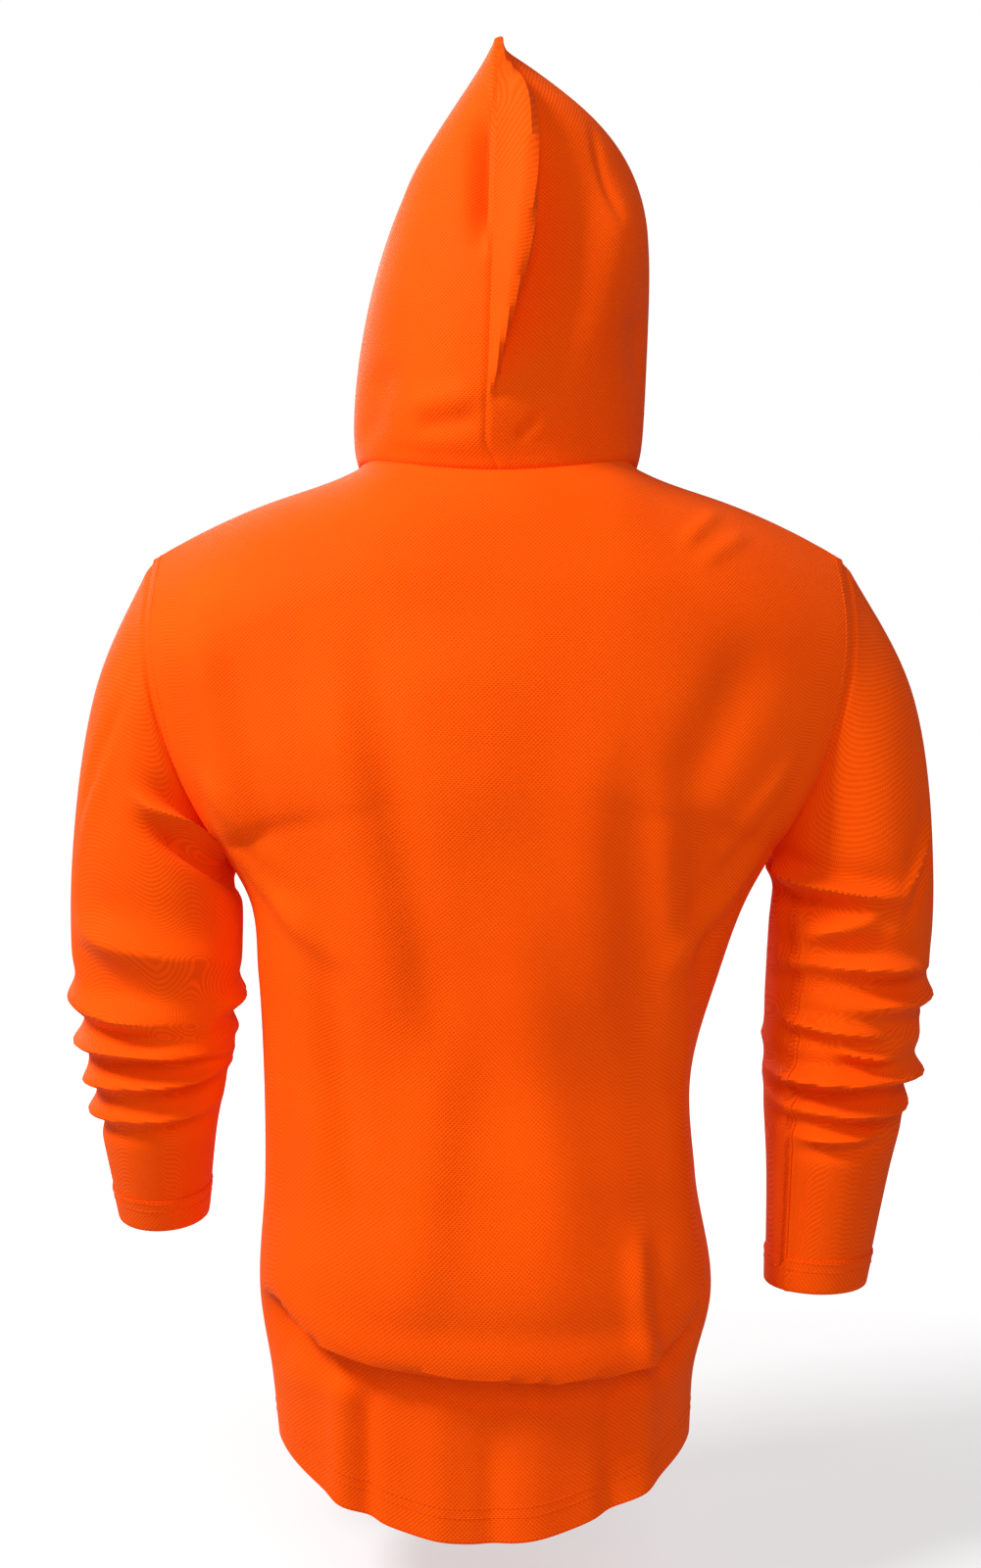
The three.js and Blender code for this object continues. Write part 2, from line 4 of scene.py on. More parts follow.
import bpy
import numpy as np
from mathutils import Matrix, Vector


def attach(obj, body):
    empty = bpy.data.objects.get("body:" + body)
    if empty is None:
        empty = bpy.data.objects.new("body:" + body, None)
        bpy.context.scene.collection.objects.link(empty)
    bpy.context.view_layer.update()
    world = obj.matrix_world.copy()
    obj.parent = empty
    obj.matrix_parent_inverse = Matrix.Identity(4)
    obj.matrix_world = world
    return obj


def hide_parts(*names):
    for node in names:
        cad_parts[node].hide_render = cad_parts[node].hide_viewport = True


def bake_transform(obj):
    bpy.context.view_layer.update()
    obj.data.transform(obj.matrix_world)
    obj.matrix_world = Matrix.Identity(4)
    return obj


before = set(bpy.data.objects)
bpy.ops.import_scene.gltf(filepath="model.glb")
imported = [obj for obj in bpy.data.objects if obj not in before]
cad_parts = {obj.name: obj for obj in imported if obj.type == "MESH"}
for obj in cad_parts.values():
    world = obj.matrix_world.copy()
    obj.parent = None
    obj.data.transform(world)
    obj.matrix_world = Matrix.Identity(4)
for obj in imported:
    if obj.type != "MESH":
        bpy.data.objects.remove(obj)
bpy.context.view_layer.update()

# A blaze orange hooded shirt in birdseye mesh knit, hanging as it is worn. Lengths are in metres, x is to
# the wearer's left, y behind the wearer and z up, and the middle of the neck is at 0.

# ---------- driving dimensions ----------

CLOTH = 0.0007  # thickness of the cloth
LAYER = 0.0011  # from the middle of one layer of cloth to the middle of the layer sewn behind it
TAPE_THICKNESS = 0.0006
TAPE_WIDTH = 0.010
LABEL_THICKNESS = 0.0003
LABEL_GAP = 0.0018  # how far a label's free end hangs off the cloth
NAPE_LABEL_REACH = (0.040, 0.009)  # from the neck seam down to its free end and its sewn end
CARE_LABEL_REACH = (0.075, 0.120)  # from the hem up to its free end and its sewn end
SEAM_CLEAR = 0.0006  # how far the sleeves and the hood stand off the body's edge
SEAM_TUCK = 0.0012  # how far a panel's edge is drawn in at a seam
SEAM_WIDTH = 0.0036  # how wide the drawn-in groove is
SEAM_ALLOWANCE = 0.008
PULL_REACH = 0.012  # how far from a seam the cloth follows its edge
SEAM_TO_STITCHES = 0.0065  # from a seam to the stitching beside it
THREAD = 0.00032  # radius of a thread
STITCH_PITCH = 0.0034
STITCH_LENGTH = 0.0027
ZIGZAG_PITCH = 0.0017
EYE_PITCH = 0.0030  # between the small eyes of the mesh

SHOULDER_HALF = 0.252
SHOULDER_Z = -0.054
SHOULDER_BOW = 0.007
SHOULDER_ROUND = 0.095
UNDERARM_Z = -0.262
HEM_SIDE_Z = -0.686
HEM_BACK_Z = -0.740
HEM_FRONT_Z = -0.704
HEM_HEIGHT = 0.025
STITCH_ROWS = (("upper", 0.92), ("lower", 0.66))  # rows of stitching, as shares of a hem's height
ARMHOLE_BACK = 0.056
ARMHOLE_FRONT = 0.052
SIDE_ROUNDNESS = 2.4

# Height, half width, sideways shift, depth behind and depth in front of the body's cross-section.
BODY = np.array([
    (HEM_SIDE_Z, 0.149, 0.010, 0.096, -0.101),
    (-0.640, 0.153, 0.011, 0.099, -0.103),
    (-0.590, 0.163, 0.009, 0.117, -0.110),
    (-0.500, 0.156, 0.013, 0.108, -0.112),
    (-0.430, 0.155, 0.015, 0.098, -0.112),
    (-0.357, 0.167, 0.007, 0.102, -0.116),
    (-0.301, 0.181, 0.000, 0.110, -0.122),
    (UNDERARM_Z, 0.203, 0.000, 0.115, -0.126),
    (-0.200, 0.232, 0.000, 0.119, -0.124),
    (-0.130, 0.250, 0.000, 0.117, -0.116),
    (SHOULDER_Z, SHOULDER_HALF, 0.000, 0.108, -0.104),
])

NECK_HALF = 0.100
NECK_BACK_Y = 0.072
NECK_FRONT_Y = -0.088
NECK_SIDE_RISE = 0.016
THROAT_DROP = 0.075
NECK_DROP_POWER = 4.5
SHOULDER_SEAM_ANGLE = -10
NECK_SHARE = NECK_HALF / SHOULDER_HALF
NECK_STITCH_REACH = {"back": 0.93, "front": 0.62}  # how much of the neckline is stitched on each panel

PEAK_Y, PEAK_Z = 0.040, 0.321
HOOD_BACK_BULGE = 0.034
FACE_TOP_Y, FACE_TOP_Z = -0.122, 0.262
FACE_HALF = 0.060
FACE_BOW = 0.006
TOP_RISE = 0.016
THROAT_OVERLAP = 14
BULGE_RISE = 2.0
HOOD_BULGE = {"left": 0.016, "right": 0.056}
TIP_ROUND = 0.012  # how far below its peak the hood begins to be blunted
SEAM_DRIFT = 0.010  # how far the hood's centre seam leans to the wearer's left at its foot
FACE_HEM = 0.024
LAP_STANDOFF = 0.003
CUFF_HEM = 0.024

SIGN = {"left": 1, "right": -1}

# Centre x, y, z, half width, half depth, tilt up at the outside, and pitch of the rings of a sleeve.
SLEEVE_RINGS = {
    "left": [
        (0.248, 0.000, -0.213, 0.045, 0.058, 0.063, 0),
        (0.249, 0.001, -0.290, 0.061, 0.060, 0.017, 0),
        (0.249, 0.002, -0.390, 0.058, 0.056, 0.005, 2),
        (0.249, -0.009, -0.470, 0.042, 0.042, 0.000, 12),
        (0.248, -0.025, -0.536, 0.032, 0.034, 0.000, 13),
    ],
    "right": [
        (0.253, 0.000, -0.219, 0.050, 0.058, 0.063, 0),
        (0.258, 0.001, -0.303, 0.059, 0.060, 0.015, 0),
        (0.250, 0.002, -0.415, 0.056, 0.056, 0.005, 0),
        (0.241, 0.000, -0.500, 0.044, 0.044, 0.000, 3),
        (0.233, -0.006, -0.582, 0.036, 0.036, 0.000, 4),
    ],
}
SEAM_TWIST = {"left": 20, "right": -48}  # degrees by which a sleeve's seam turns toward the back

# ---------- small helpers ----------


def smooth(low, high, x):
    t = np.clip((x - low) / (high - low), 0, 1)
    return t * t * (3 - 2 * t)


def lerp(a, b, t):
    return a + (b - a) * t


def track(places, values, x):
    """A smooth curve through rows of values, at x."""
    places, values = np.asarray(places, float), np.asarray(values, float)
    slopes = np.gradient(values, places, axis=0)
    x = np.clip(x, places[0], places[-1])
    k = np.clip(np.searchsorted(places, x, side="right") - 1, 0, len(places) - 2)
    step = (places[k + 1] - places[k])[..., None]
    t = (x - places[k])[..., None] / step
    near = (1 + 2 * t) * (1 - t) ** 2 * values[k] + t * (1 - t) ** 2 * step * slopes[k]
    far = t * t * (3 - 2 * t) * values[k + 1] + t * t * (t - 1) * step * slopes[k + 1]
    return np.moveaxis(near + far, -1, 0)


def stack(x, y, z):
    return np.stack(np.broadcast_arrays(x, y, z), axis=-1).astype(float)


# ---------- sheets of cloth ----------

# A grid of places and outward normals. A closed one joins its last column to its first.
Sheet = namedtuple("Sheet", "places normals closed")


def normals_of(places, closed, outward):
    if closed:
        across = np.roll(places, -1, 1) - np.roll(places, 1, 1)
    else:
        across = np.gradient(places, axis=1)
    found = np.cross(across, np.gradient(places, axis=0)) * outward
    return found / np.maximum(np.linalg.norm(found, axis=-1, keepdims=True), 1e-12)


def handedness(sheet):
    """1 where columns, rows and outward normals make a right-handed set, or -1."""
    raw = normals_of(sheet.places, sheet.closed, 1)
    return 1 if (raw * sheet.normals).sum() > 0 else -1


def moved(sheet, depth):
    """The sheet pushed out along its normals by depth, which is a number or a grid."""
    depth = np.broadcast_to(depth, sheet.places.shape[:2])[..., None]
    places = sheet.places + sheet.normals * depth
    return Sheet(places, normals_of(places, sheet.closed, handedness(sheet)), sheet.closed)


def rows_reversed(sheet):
    return Sheet(sheet.places[::-1], sheet.normals[::-1], sheet.closed)


def columns_as_rows(sheet):
    """The sheet turned so that its last column is the first row."""
    return Sheet(*[f.transpose(1, 0, 2)[::-1] for f in (sheet.places, sheet.normals)], False)


def lengths(sheet, axis):
    """Distance along the cloth from the first row (axis 0) or column (axis 1)."""
    places = sheet.places
    if axis == 1 and sheet.closed:
        places = np.concatenate([places, places[:, :1]], axis=1)
    steps = np.linalg.norm(np.diff(places, axis=axis), axis=-1)
    start = np.zeros_like(steps.take([0], axis=axis))
    return np.concatenate([start, np.cumsum(steps, axis=axis)], axis=axis)


def sample(sheet, rows, columns):
    """Places and normals at fractional rows and columns. Just past an edge it runs straight on."""
    rows, columns = np.broadcast_arrays(np.asarray(rows, float), np.asarray(columns, float))
    count = sheet.places.shape
    j = np.clip(np.floor(rows).astype(int), 0, count[0] - 2)
    i = np.floor(columns).astype(int)
    i = i if sheet.closed else np.clip(i, 0, count[1] - 2)
    up, along = (rows - j)[..., None], (columns - i)[..., None]
    near, far = i % count[1], (i + 1) % count[1]

    def mixed(field):
        low = lerp(field[j, near], field[j, far], along)
        high = lerp(field[j + 1, near], field[j + 1, far], along)
        return lerp(low, high, up)

    normals = mixed(sheet.normals)
    return mixed(sheet.places), normals / np.linalg.norm(normals, axis=-1, keepdims=True)


def rows_at(sheet, distance, columns):
    """The fractional row at a distance along the cloth from the first row, for each column."""
    down = lengths(sheet, 0)
    whole = np.arange(down.shape[0])
    found = []
    for column in columns:
        line = down[:, int(round(column)) % down.shape[1]]
        found.append(distance / line[1] if distance < 0 else np.interp(distance, line, whole))
    return np.array(found)


def patch(sheet, rows, columns, offset=0.0, closed=False):
    """A piece of a sheet as a sheet of its own, set off along the normals."""
    places, normals = sample(sheet, rows, columns)
    offset = np.broadcast_to(offset, places.shape[:2])[..., None]
    return Sheet(places + normals * offset, normals, closed)


# ---------- meshes ----------


def new_object(name, vertices, faces, material, uv=None, sharp=40):
    mesh = bpy.data.meshes.new(name)
    mesh.from_pydata(vertices.tolist(), [], faces)
    if uv is not None:
        layer = mesh.uv_layers.new(name="UVMap")
        layer.data.foreach_set("uv", uv.astype(np.float32).ravel())
    mesh.shade_smooth()
    mesh.set_sharp_from_angle(angle=math.radians(sharp))
    mesh.materials.append(material)
    made = bpy.data.objects.new(name, mesh)
    bpy.context.scene.collection.objects.link(made)
    return made


def shell(name, sheet, material, thickness=CLOTH):
    """A closed two-layer piece of cloth around a sheet, with its weave laid out in metres."""
    rows, columns = sheet.places.shape[:2]
    spans = columns if sheet.closed else columns - 1
    offset = sheet.normals * thickness / 2
    vertices = np.concatenate([sheet.places + offset, sheet.places - offset]).reshape(-1, 3)
    across, along = lengths(sheet, 1), lengths(sheet, 0)
    across = across - across[:, across.shape[1] // 2, None]
    if sheet.closed:
        along = np.concatenate([along, along[:, :1]], axis=1)
    uv_grid = np.stack([across, along], axis=-1).reshape(-1, 2)
    j, i = [g.ravel() for g in np.meshgrid(np.arange(rows - 1), np.arange(spans), indexing="ij")]
    edge_i, edge_j = np.arange(spans), np.arange(rows - 1)
    last, end = rows - 1, columns - 1
    corners = [
        [(0, j, i), (0, j, i + 1), (0, j + 1, i + 1), (0, j + 1, i)],
        [(1, j, i), (1, j + 1, i), (1, j + 1, i + 1), (1, j, i + 1)],
        [(1, 0, edge_i), (1, 0, edge_i + 1), (0, 0, edge_i + 1), (0, 0, edge_i)],
        [(0, last, edge_i), (0, last, edge_i + 1), (1, last, edge_i + 1), (1, last, edge_i)],
    ]
    if not sheet.closed:
        corners += [
            [(1, edge_j, 0), (0, edge_j, 0), (0, edge_j + 1, 0), (1, edge_j + 1, 0)],
            [(0, edge_j, end), (1, edge_j, end), (1, edge_j + 1, end), (0, edge_j + 1, end)],
        ]
    faces, places = [], []
    for face in corners:
        layers = [layer * rows * columns for layer, _, _ in face]
        grids = [np.broadcast_arrays(r, c) for _, r, c in face]
        faces.append(np.stack([first + r * columns + c % columns for first, (r, c) in zip(layers, grids)], 1))
        places.append(np.stack([r * (spans + 1) + c for r, c in grids], 1))
    faces, places = np.concatenate(faces), np.concatenate(places)
    if handedness(sheet) < 0:
        faces, places = faces[:, ::-1], places[:, ::-1]
    return new_object(name, vertices, faces.tolist(), material, uv_grid[places.ravel()])


def frames_along(path, normals):
    """The directions along, up from and across a path that lies on cloth."""
    tangents = np.gradient(path, axis=0)
    tangents /= np.maximum(np.linalg.norm(tangents, axis=-1, keepdims=True), 1e-12)
    sides = np.cross(tangents, normals)
    sides /= np.maximum(np.linalg.norm(sides, axis=-1, keepdims=True), 1e-12)
    return tangents, np.cross(sides, tangents), sides


def resampled(path, normals, step):
    """The same path in equal steps."""
    run = np.concatenate([[0], np.cumsum(np.linalg.norm(np.diff(path, axis=0), axis=-1))])
    count = max(int(run[-1] / step), 2)
    at = (np.arange(count) + 0.5) * run[-1] / count
    both = [np.stack([np.interp(at, run, f[:, k]) for k in range(3)], 1) for f in (path, normals)]
    return both[0], both[1] / np.linalg.norm(both[1], axis=-1, keepdims=True)


def stitches(name, path, normals, length=STITCH_LENGTH):
    """A row of single stitches, each an arched thread that dips into the cloth at its two ends."""
    path, normals = resampled(path, normals, STITCH_PITCH)
    tangents, ups, sides = frames_along(path, normals)
    sides_count = 6
    turn = np.arange(sides_count) * 2 * math.pi / sides_count
    along = np.array([-1, -0.8, 0, 0.8, 1]) * length / 2
    radius = np.array([0.35, 0.85, 1.0, 0.85, 0.35]) * THREAD
    rise = np.array([-0.5, 0.15, 0.55, 0.15, -0.5]) * THREAD
    a = np.repeat(along, sides_count)
    b = np.repeat(rise, sides_count) + np.outer(radius, np.cos(turn)).ravel()
    c = np.outer(radius, np.sin(turn)).ravel()
    count = len(a)
    vertices = (path[:, None] + tangents[:, None] * a[:, None] + ups[:, None] * b[:, None]
                + sides[:, None] * c[:, None]).reshape(-1, 3)
    template = []
    for ring in range(len(along) - 1):
        for k in range(sides_count):
            first, second = ring * sides_count + k, ring * sides_count + (k + 1) % sides_count
            template.append([first, second, second + sides_count, first + sides_count])
    template.append(list(range(sides_count))[::-1])
    template.append(list(range(count - sides_count, count)))
    faces = [[v + n * count for v in face] for n in range(len(path)) for face in template]
    return new_object(name, vertices, faces, THREADS, sharp=80)


def thread(name, path, normals, radius):
    """One thread that follows a path."""
    _, ups, sides = frames_along(path, normals)
    count = 5
    turn = (np.arange(count) * 2 * math.pi / count)[:, None]
    round_it = ups[:, None] * np.cos(turn) + sides[:, None] * np.sin(turn)
    vertices = (path[:, None] + round_it * radius).reshape(-1, 3)
    faces = []
    for n in range(len(path) - 1):
        for k in range(count):
            first, second = n * count + k, n * count + (k + 1) % count
            faces.append([first, second, second + count, first + count])
    faces.append(list(range(count))[::-1])
    faces.append(list(range(len(path) * count - count, len(path) * count)))
    return new_object(name, vertices, faces, THREADS, sharp=80)


def join(name, objects):
    """Several objects as one piece."""
    bpy.ops.object.select_all(action="DESELECT")
    for part in objects:
        part.select_set(True)
    bpy.context.view_layer.objects.active = objects[0]
    bpy.ops.object.join()
    objects[0].name = name
    objects[0].data.name = name
    return objects[0]


# ---------- materials ----------


def math_node(tree, operation, a, b=None, c=None):
    made = tree.nodes.new("ShaderNodeMath")
    made.operation = operation
    for k, value in enumerate((a, b, c)):
        if value is None:
            continue
        if isinstance(value, (int, float)):
            made.inputs[k].default_value = value
        else:
            tree.links.new(value, made.inputs[k])
    return made.outputs[0]


def principled(name, **sockets):
    """A material whose shader's sockets are named with _ for each space."""
    material = bpy.data.materials.new(name)
    material.use_nodes = True
    tree = material.node_tree
    shader = tree.nodes["Principled BSDF"]
    for key, value in sockets.items():
        shader.inputs[key.replace("_", " ")].default_value = value
    return material, tree, shader


def metres_on_cloth(tree):
    """Where a point lies on the cloth as it was laid out flat, in metres: as a vector, across and along."""
    uv = tree.nodes.new("ShaderNodeUVMap")
    uv.uv_map = "UVMap"
    split = tree.nodes.new("ShaderNodeSeparateXYZ")
    tree.links.new(uv.outputs[0], split.inputs[0])
    return uv.outputs[0], split.outputs[0], split.outputs[1]


def birdseye_dots(tree, across, along, pitch, size):
    """1 in the middle of each small eye of the mesh and 0 between them. Every second row is staggered."""
    row = math_node(tree, "DIVIDE", along, pitch * 0.5)
    number = math_node(tree, "FLOOR", row)
    stagger = math_node(tree, "MULTIPLY", math_node(tree, "MODULO", number, 2.0), 0.5)
    column = math_node(tree, "ADD", math_node(tree, "DIVIDE", across, pitch), stagger)
    x = math_node(tree, "SUBTRACT", math_node(tree, "FRACT", column), 0.5)
    y = math_node(tree, "MULTIPLY", math_node(tree, "SUBTRACT", math_node(tree, "FRACT", row), 0.5), 0.62)
    squared = math_node(tree, "ADD", math_node(tree, "MULTIPLY", x, x), math_node(tree, "MULTIPLY", y, y))
    distance = math_node(tree, "SQRT", squared)
    mask = tree.nodes.new("ShaderNodeMapRange")
    mask.interpolation_type = "SMOOTHSTEP"
    tree.links.new(distance, mask.inputs["Value"])
    mask.inputs["From Min"].default_value = size
    mask.inputs["From Max"].default_value = size * 0.35
    return mask.outputs[0]


def mix_colour(tree, factor, a, b):
    made = tree.nodes.new("ShaderNodeMix")
    made.data_type = "RGBA"
    tree.links.new(factor, made.inputs[0])
    for socket, value in ((made.inputs[6], a), (made.inputs[7], b)):
        if isinstance(value, tuple):
            socket.default_value = value
        else:
            tree.links.new(value, socket)
    return made.outputs[2]


def noise(tree, vector, scale, detail=2.0):
    made = tree.nodes.new("ShaderNodeTexNoise")
    made.inputs["Scale"].default_value = scale
    made.inputs["Detail"].default_value = detail
    tree.links.new(vector, made.inputs["Vector"])
    return made.outputs[0]


def ribs_of(tree, across, pitch):
    """Rounded ribs side by side, from -1 to 1."""
    return math_node(tree, "SINE", math_node(tree, "MULTIPLY", across, 2 * math.pi / pitch))


def finish(tree, shader, colour, roughness, height, strength, distance):
    """Gives a shader its colour and roughness, and a bump that stands distance high."""
    bump = tree.nodes.new("ShaderNodeBump")
    bump.inputs["Strength"].default_value = strength
    bump.inputs["Distance"].default_value = distance
    tree.links.new(height, bump.inputs["Height"])
    tree.links.new(colour, shader.inputs["Base Color"])
    tree.links.new(roughness, shader.inputs["Roughness"])
    tree.links.new(bump.outputs[0], shader.inputs["Normal"])


def orange_mesh():
    """Birdseye mesh knit: staggered small eyes, fine knitted ribs, soft sheen, and an orange emission that
    stands for the dye's fluorescence and is also a painted glow that lifts and reddens the shade.
    """
    material, tree, shader = principled(
        "orange_birdseye_mesh", Sheen_Weight=0.16, Sheen_Roughness=0.5, Sheen_Tint=(1.0, 0.26, 0.03, 1.0),
        Specular_Tint=(1.0, 0.30, 0.04, 1.0), Specular_IOR_Level=0.22,
        Emission_Color=(1.0, 0.02, 0.0, 1.0), Emission_Strength=0.09)
    uv, across, along = metres_on_cloth(tree)
    eyes = birdseye_dots(tree, across, along, EYE_PITCH, size=0.34)
    place = tree.nodes.new("ShaderNodeTexCoord").outputs["Object"]
    broad = noise(tree, place, 9.0, 3.0)
    fine = noise(tree, uv, 900.0, 1.0)
    ribs = ribs_of(tree, across, 0.0010)
    cloth = mix_colour(tree, broad, (0.84, 0.072, 0.0012, 1.0), (1.0, 0.112, 0.0025, 1.0))
    # Painted shade: the small eyes of the mesh are darkened towards a deep orange, as if shadow falls into
    # their holes, and a fine random mottle darkens the cloth a little as well.
    eye_shade_and_mottle = math_node(tree, "MULTIPLY_ADD", eyes, 0.34, math_node(tree, "MULTIPLY", fine, 0.16))
    colour = mix_colour(tree, eye_shade_and_mottle, cloth, (0.42, 0.016, 0.0006, 1.0))
    rough = math_node(tree, "MULTIPLY_ADD", broad, 0.1, math_node(tree, "MULTIPLY_ADD", eyes, 0.2, 0.62))
    height = math_node(tree, "MULTIPLY_ADD", ribs, 0.03, math_node(tree, "MULTIPLY", eyes, -1.0))
    height = math_node(tree, "MULTIPLY_ADD", fine, 0.30, height)
    finish(tree, shader, colour, rough, height, strength=0.45, distance=0.0005)
    return material


def orange_thread():
    """Spun polyester thread a little lighter than the cloth, with its twist."""
    # The orange emission stands for the dye's fluorescence and is also a painted glow that lifts the shade.
    material, tree, shader = principled(
        "orange_thread", Sheen_Weight=0.12, Sheen_Roughness=0.4, Sheen_Tint=(1.0, 0.3, 0.05, 1.0),
        Specular_Tint=(1.0, 0.4, 0.1, 1.0), Specular_IOR_Level=0.35,
        Emission_Color=(1.0, 0.05, 0.0, 1.0), Emission_Strength=0.03)
    place = tree.nodes.new("ShaderNodeTexCoord").outputs["Object"]
    twist = tree.nodes.new("ShaderNodeTexWave")
    twist.bands_direction = "DIAGONAL"
    twist.inputs["Scale"].default_value = 900.0
    twist.inputs["Distortion"].default_value = 1.5
    tree.links.new(place, twist.inputs["Vector"])
    colour = mix_colour(tree, twist.outputs[1], (0.62, 0.040, 0.001, 1.0), (1.0, 0.115, 0.006, 1.0))
    rough = math_node(tree, "MULTIPLY_ADD", twist.outputs[1], 0.15, 0.45)
    finish(tree, shader, colour, rough, twist.outputs[1], strength=0.4, distance=0.0001)
    return material


def orange_tape():
    """Twill tape: diagonal ribs in the same orange."""
    material, tree, shader = principled(
        # The orange emission stands for the dye's fluorescence and is also a painted glow that lifts the
        # shade.
        "orange_twill_tape", Sheen_Weight=0.12, Sheen_Roughness=0.4, Sheen_Tint=(1.0, 0.3, 0.05, 1.0),
        Specular_Tint=(1.0, 0.4, 0.1, 1.0), Specular_IOR_Level=0.3,
        Emission_Color=(1.0, 0.02, 0.0, 1.0), Emission_Strength=0.09)
    uv, across, along = metres_on_cloth(tree)
    ribs = ribs_of(tree, math_node(tree, "ADD", across, along), 0.0011)
    mottle = noise(tree, uv, 400.0)
    level = math_node(tree, "MULTIPLY_ADD", ribs, 0.22, math_node(tree, "MULTIPLY", mottle, 0.6))
    colour = mix_colour(tree, level, (0.62, 0.034, 0.001, 1.0), (0.98, 0.085, 0.003, 1.0))
    rough = math_node(tree, "MULTIPLY_ADD", mottle, 0.2, 0.55)
    finish(tree, shader, colour, rough, ribs, strength=0.5, distance=0.0002)
    return material


def white_satin():
    """Blank satin label: fine lengthwise floats with a soft gloss."""
    material, tree, shader = principled(
        "white_satin_label", Sheen_Weight=0.15, Sheen_Roughness=0.3, Specular_IOR_Level=0.5)
    uv, _, _ = metres_on_cloth(tree)
    stretched = tree.nodes.new("ShaderNodeMapping")
    stretched.inputs["Scale"].default_value = (1.0, 0.08, 1.0)
    tree.links.new(uv, stretched.inputs["Vector"])
    floats = noise(tree, stretched.outputs[0], 3000.0, 2.0)
    colour = mix_colour(tree, floats, (0.70, 0.69, 0.66, 1.0), (0.90, 0.89, 0.86, 1.0))
    rough = math_node(tree, "MULTIPLY_ADD", floats, 0.25, 0.28)
    finish(tree, shader, colour, rough, floats, strength=0.3, distance=0.00008)
    return material


MESH, THREADS, TAPE, LABEL = orange_mesh(), orange_thread(), orange_tape(), white_satin()

# ---------- the shirt's surfaces ----------


def neck_seam(degrees):
    """A point of the neck seam: angle 90 is the back, 0 the wearer's left, -90 the throat."""
    a = np.radians(degrees)
    middle, depth = (NECK_BACK_Y + NECK_FRONT_Y) / 2, (NECK_BACK_Y - NECK_FRONT_Y) / 2
    drop = THROAT_DROP * ((1 - np.sin(a)) / 2) ** NECK_DROP_POWER
    z = NECK_SIDE_RISE * np.cos(a) ** 2 - drop
    return stack(NECK_HALF * np.cos(a), middle + depth * np.sin(a), z)


def top_edge(u, face):
    """A panel's top edge: the neckline from the middle out to the shoulder seam, then that seam."""
    share = np.abs(u) / NECK_SHARE
    neck = neck_seam(lerp(face * 90, SHOULDER_SEAM_ANGLE, np.minimum(share, 1)))
    out = np.clip((np.abs(u) - NECK_SHARE) / (1 - NECK_SHARE), 0, 1)
    tip = np.array([SHOULDER_HALF, 0, SHOULDER_Z])
    p = np.where((share <= 1)[..., None], neck, lerp(neck_seam(SHOULDER_SEAM_ANGLE), tip, out[..., None]))
    p[..., 0] *= np.sign(u)
    p[..., 2] += SHOULDER_BOW * np.sin(math.pi * out)
    return p


def body_at(z):
    """The body's half width, sideways shift and depths behind and in front, at a height."""
    return track(BODY[:, 0], BODY[:, 1:], np.clip(z, HEM_SIDE_Z, SHOULDER_Z))


def body_point(face, u, v):
    """A point of the back (face 1) or front (face -1) panel. u runs from the wearer's right, v up."""
    u, v = np.broadcast_arrays(np.asarray(u, float), np.asarray(v, float))
    top = top_edge(u, face)
    side_z = lerp(HEM_SIDE_Z, SHOULDER_Z, v)
    hem_z = lerp(HEM_BACK_Z if face > 0 else HEM_FRONT_Z, HEM_SIDE_Z, np.abs(u) ** 2)
    z = lerp(hem_z, top[..., 2], v)
    half, shift, _, _ = body_at(side_z)
    _, _, back, front = body_at(z)
    x = shift + half * u + (top[..., 0] - SHOULDER_HALF * u) * v ** 5
    up = np.clip((side_z - UNDERARM_Z) / (SHOULDER_Z - UNDERARM_Z), 0, 1)
    edge_y = (ARMHOLE_BACK if face > 0 else -ARMHOLE_FRONT) * 2 * np.sqrt(up * (1 - up))
    flat = 1 - np.abs(u) ** SIDE_ROUNDNESS
    across = lerp(np.maximum(flat, 0) ** (1 / SIDE_ROUNDNESS), flat, smooth(0, 0.5, up))
    body_y = edge_y + ((back if face > 0 else front) - edge_y) * across
    turn = np.clip((top[..., 2] - z) / SHOULDER_ROUND, 0, 1)
    over = np.sqrt(1 - (1 - turn) ** 2)
    return stack(x, lerp(top[..., 1], body_y, over), z)


def armhole(sign, degrees):
    """The armhole seam: angle 0 is the shoulder point, 90 the back, 180 the underarm."""
    a = np.radians(degrees)
    low = (UNDERARM_Z - HEM_SIDE_Z) / (SHOULDER_Z - HEM_SIDE_Z)
    v = lerp(low, 1, (1 + np.cos(a)) / 2)
    back, front = body_point(1, sign, v), body_point(-1, sign, v)
    return np.where((np.sin(a) >= 0)[..., None], back, front)


def sleeve_point(side, degrees, t):
    """A point of a sleeve: degrees round it as on the armhole, t from 0 there to 1 at the cuff."""
    sign = SIGN[side]
    a = np.radians(degrees)
    tops = [float(body_at(np.array(z))[0]) for z in (SHOULDER_Z, UNDERARM_Z)]
    start = (sum(tops) / 2, 0, (SHOULDER_Z + UNDERARM_Z) / 2, (tops[0] - tops[1]) / 2,
             (ARMHOLE_BACK + ARMHOLE_FRONT) / 2, (SHOULDER_Z - UNDERARM_Z) / 2, 0)
    rings = [start, *SLEEVE_RINGS[side]]
    x, y, z, half, depth, lift, pitch = track(np.linspace(0, 1, len(rings)), rings, t)
    tilt = np.radians(pitch)
    oval = stack(x + half * np.cos(a), y + depth * np.sin(a) * np.cos(tilt),
                 z + lift * np.cos(a) - depth * np.sin(a) * np.sin(tilt))
    start_oval = stack(start[0] + start[3] * np.cos(a), start[4] * np.sin(a), start[2] + start[5] * np.cos(a))
    fade = (1 - np.minimum(t / 0.3, 1)) ** 2
    oval += (armhole(1, degrees) - start_oval) * fade[..., None]
    oval[..., 0] = (oval[..., 0] + SEAM_CLEAR * np.minimum(fade * 2, 1)) * sign
    return oval


def hood_back(h):
    """The hood's centre seam, from the nape to the peak."""
    bulge = HOOD_BACK_BULGE * np.sin(math.pi * h ** 0.8)
    return stack(0, lerp(NECK_BACK_Y, PEAK_Y, h) + bulge, PEAK_Z * h)


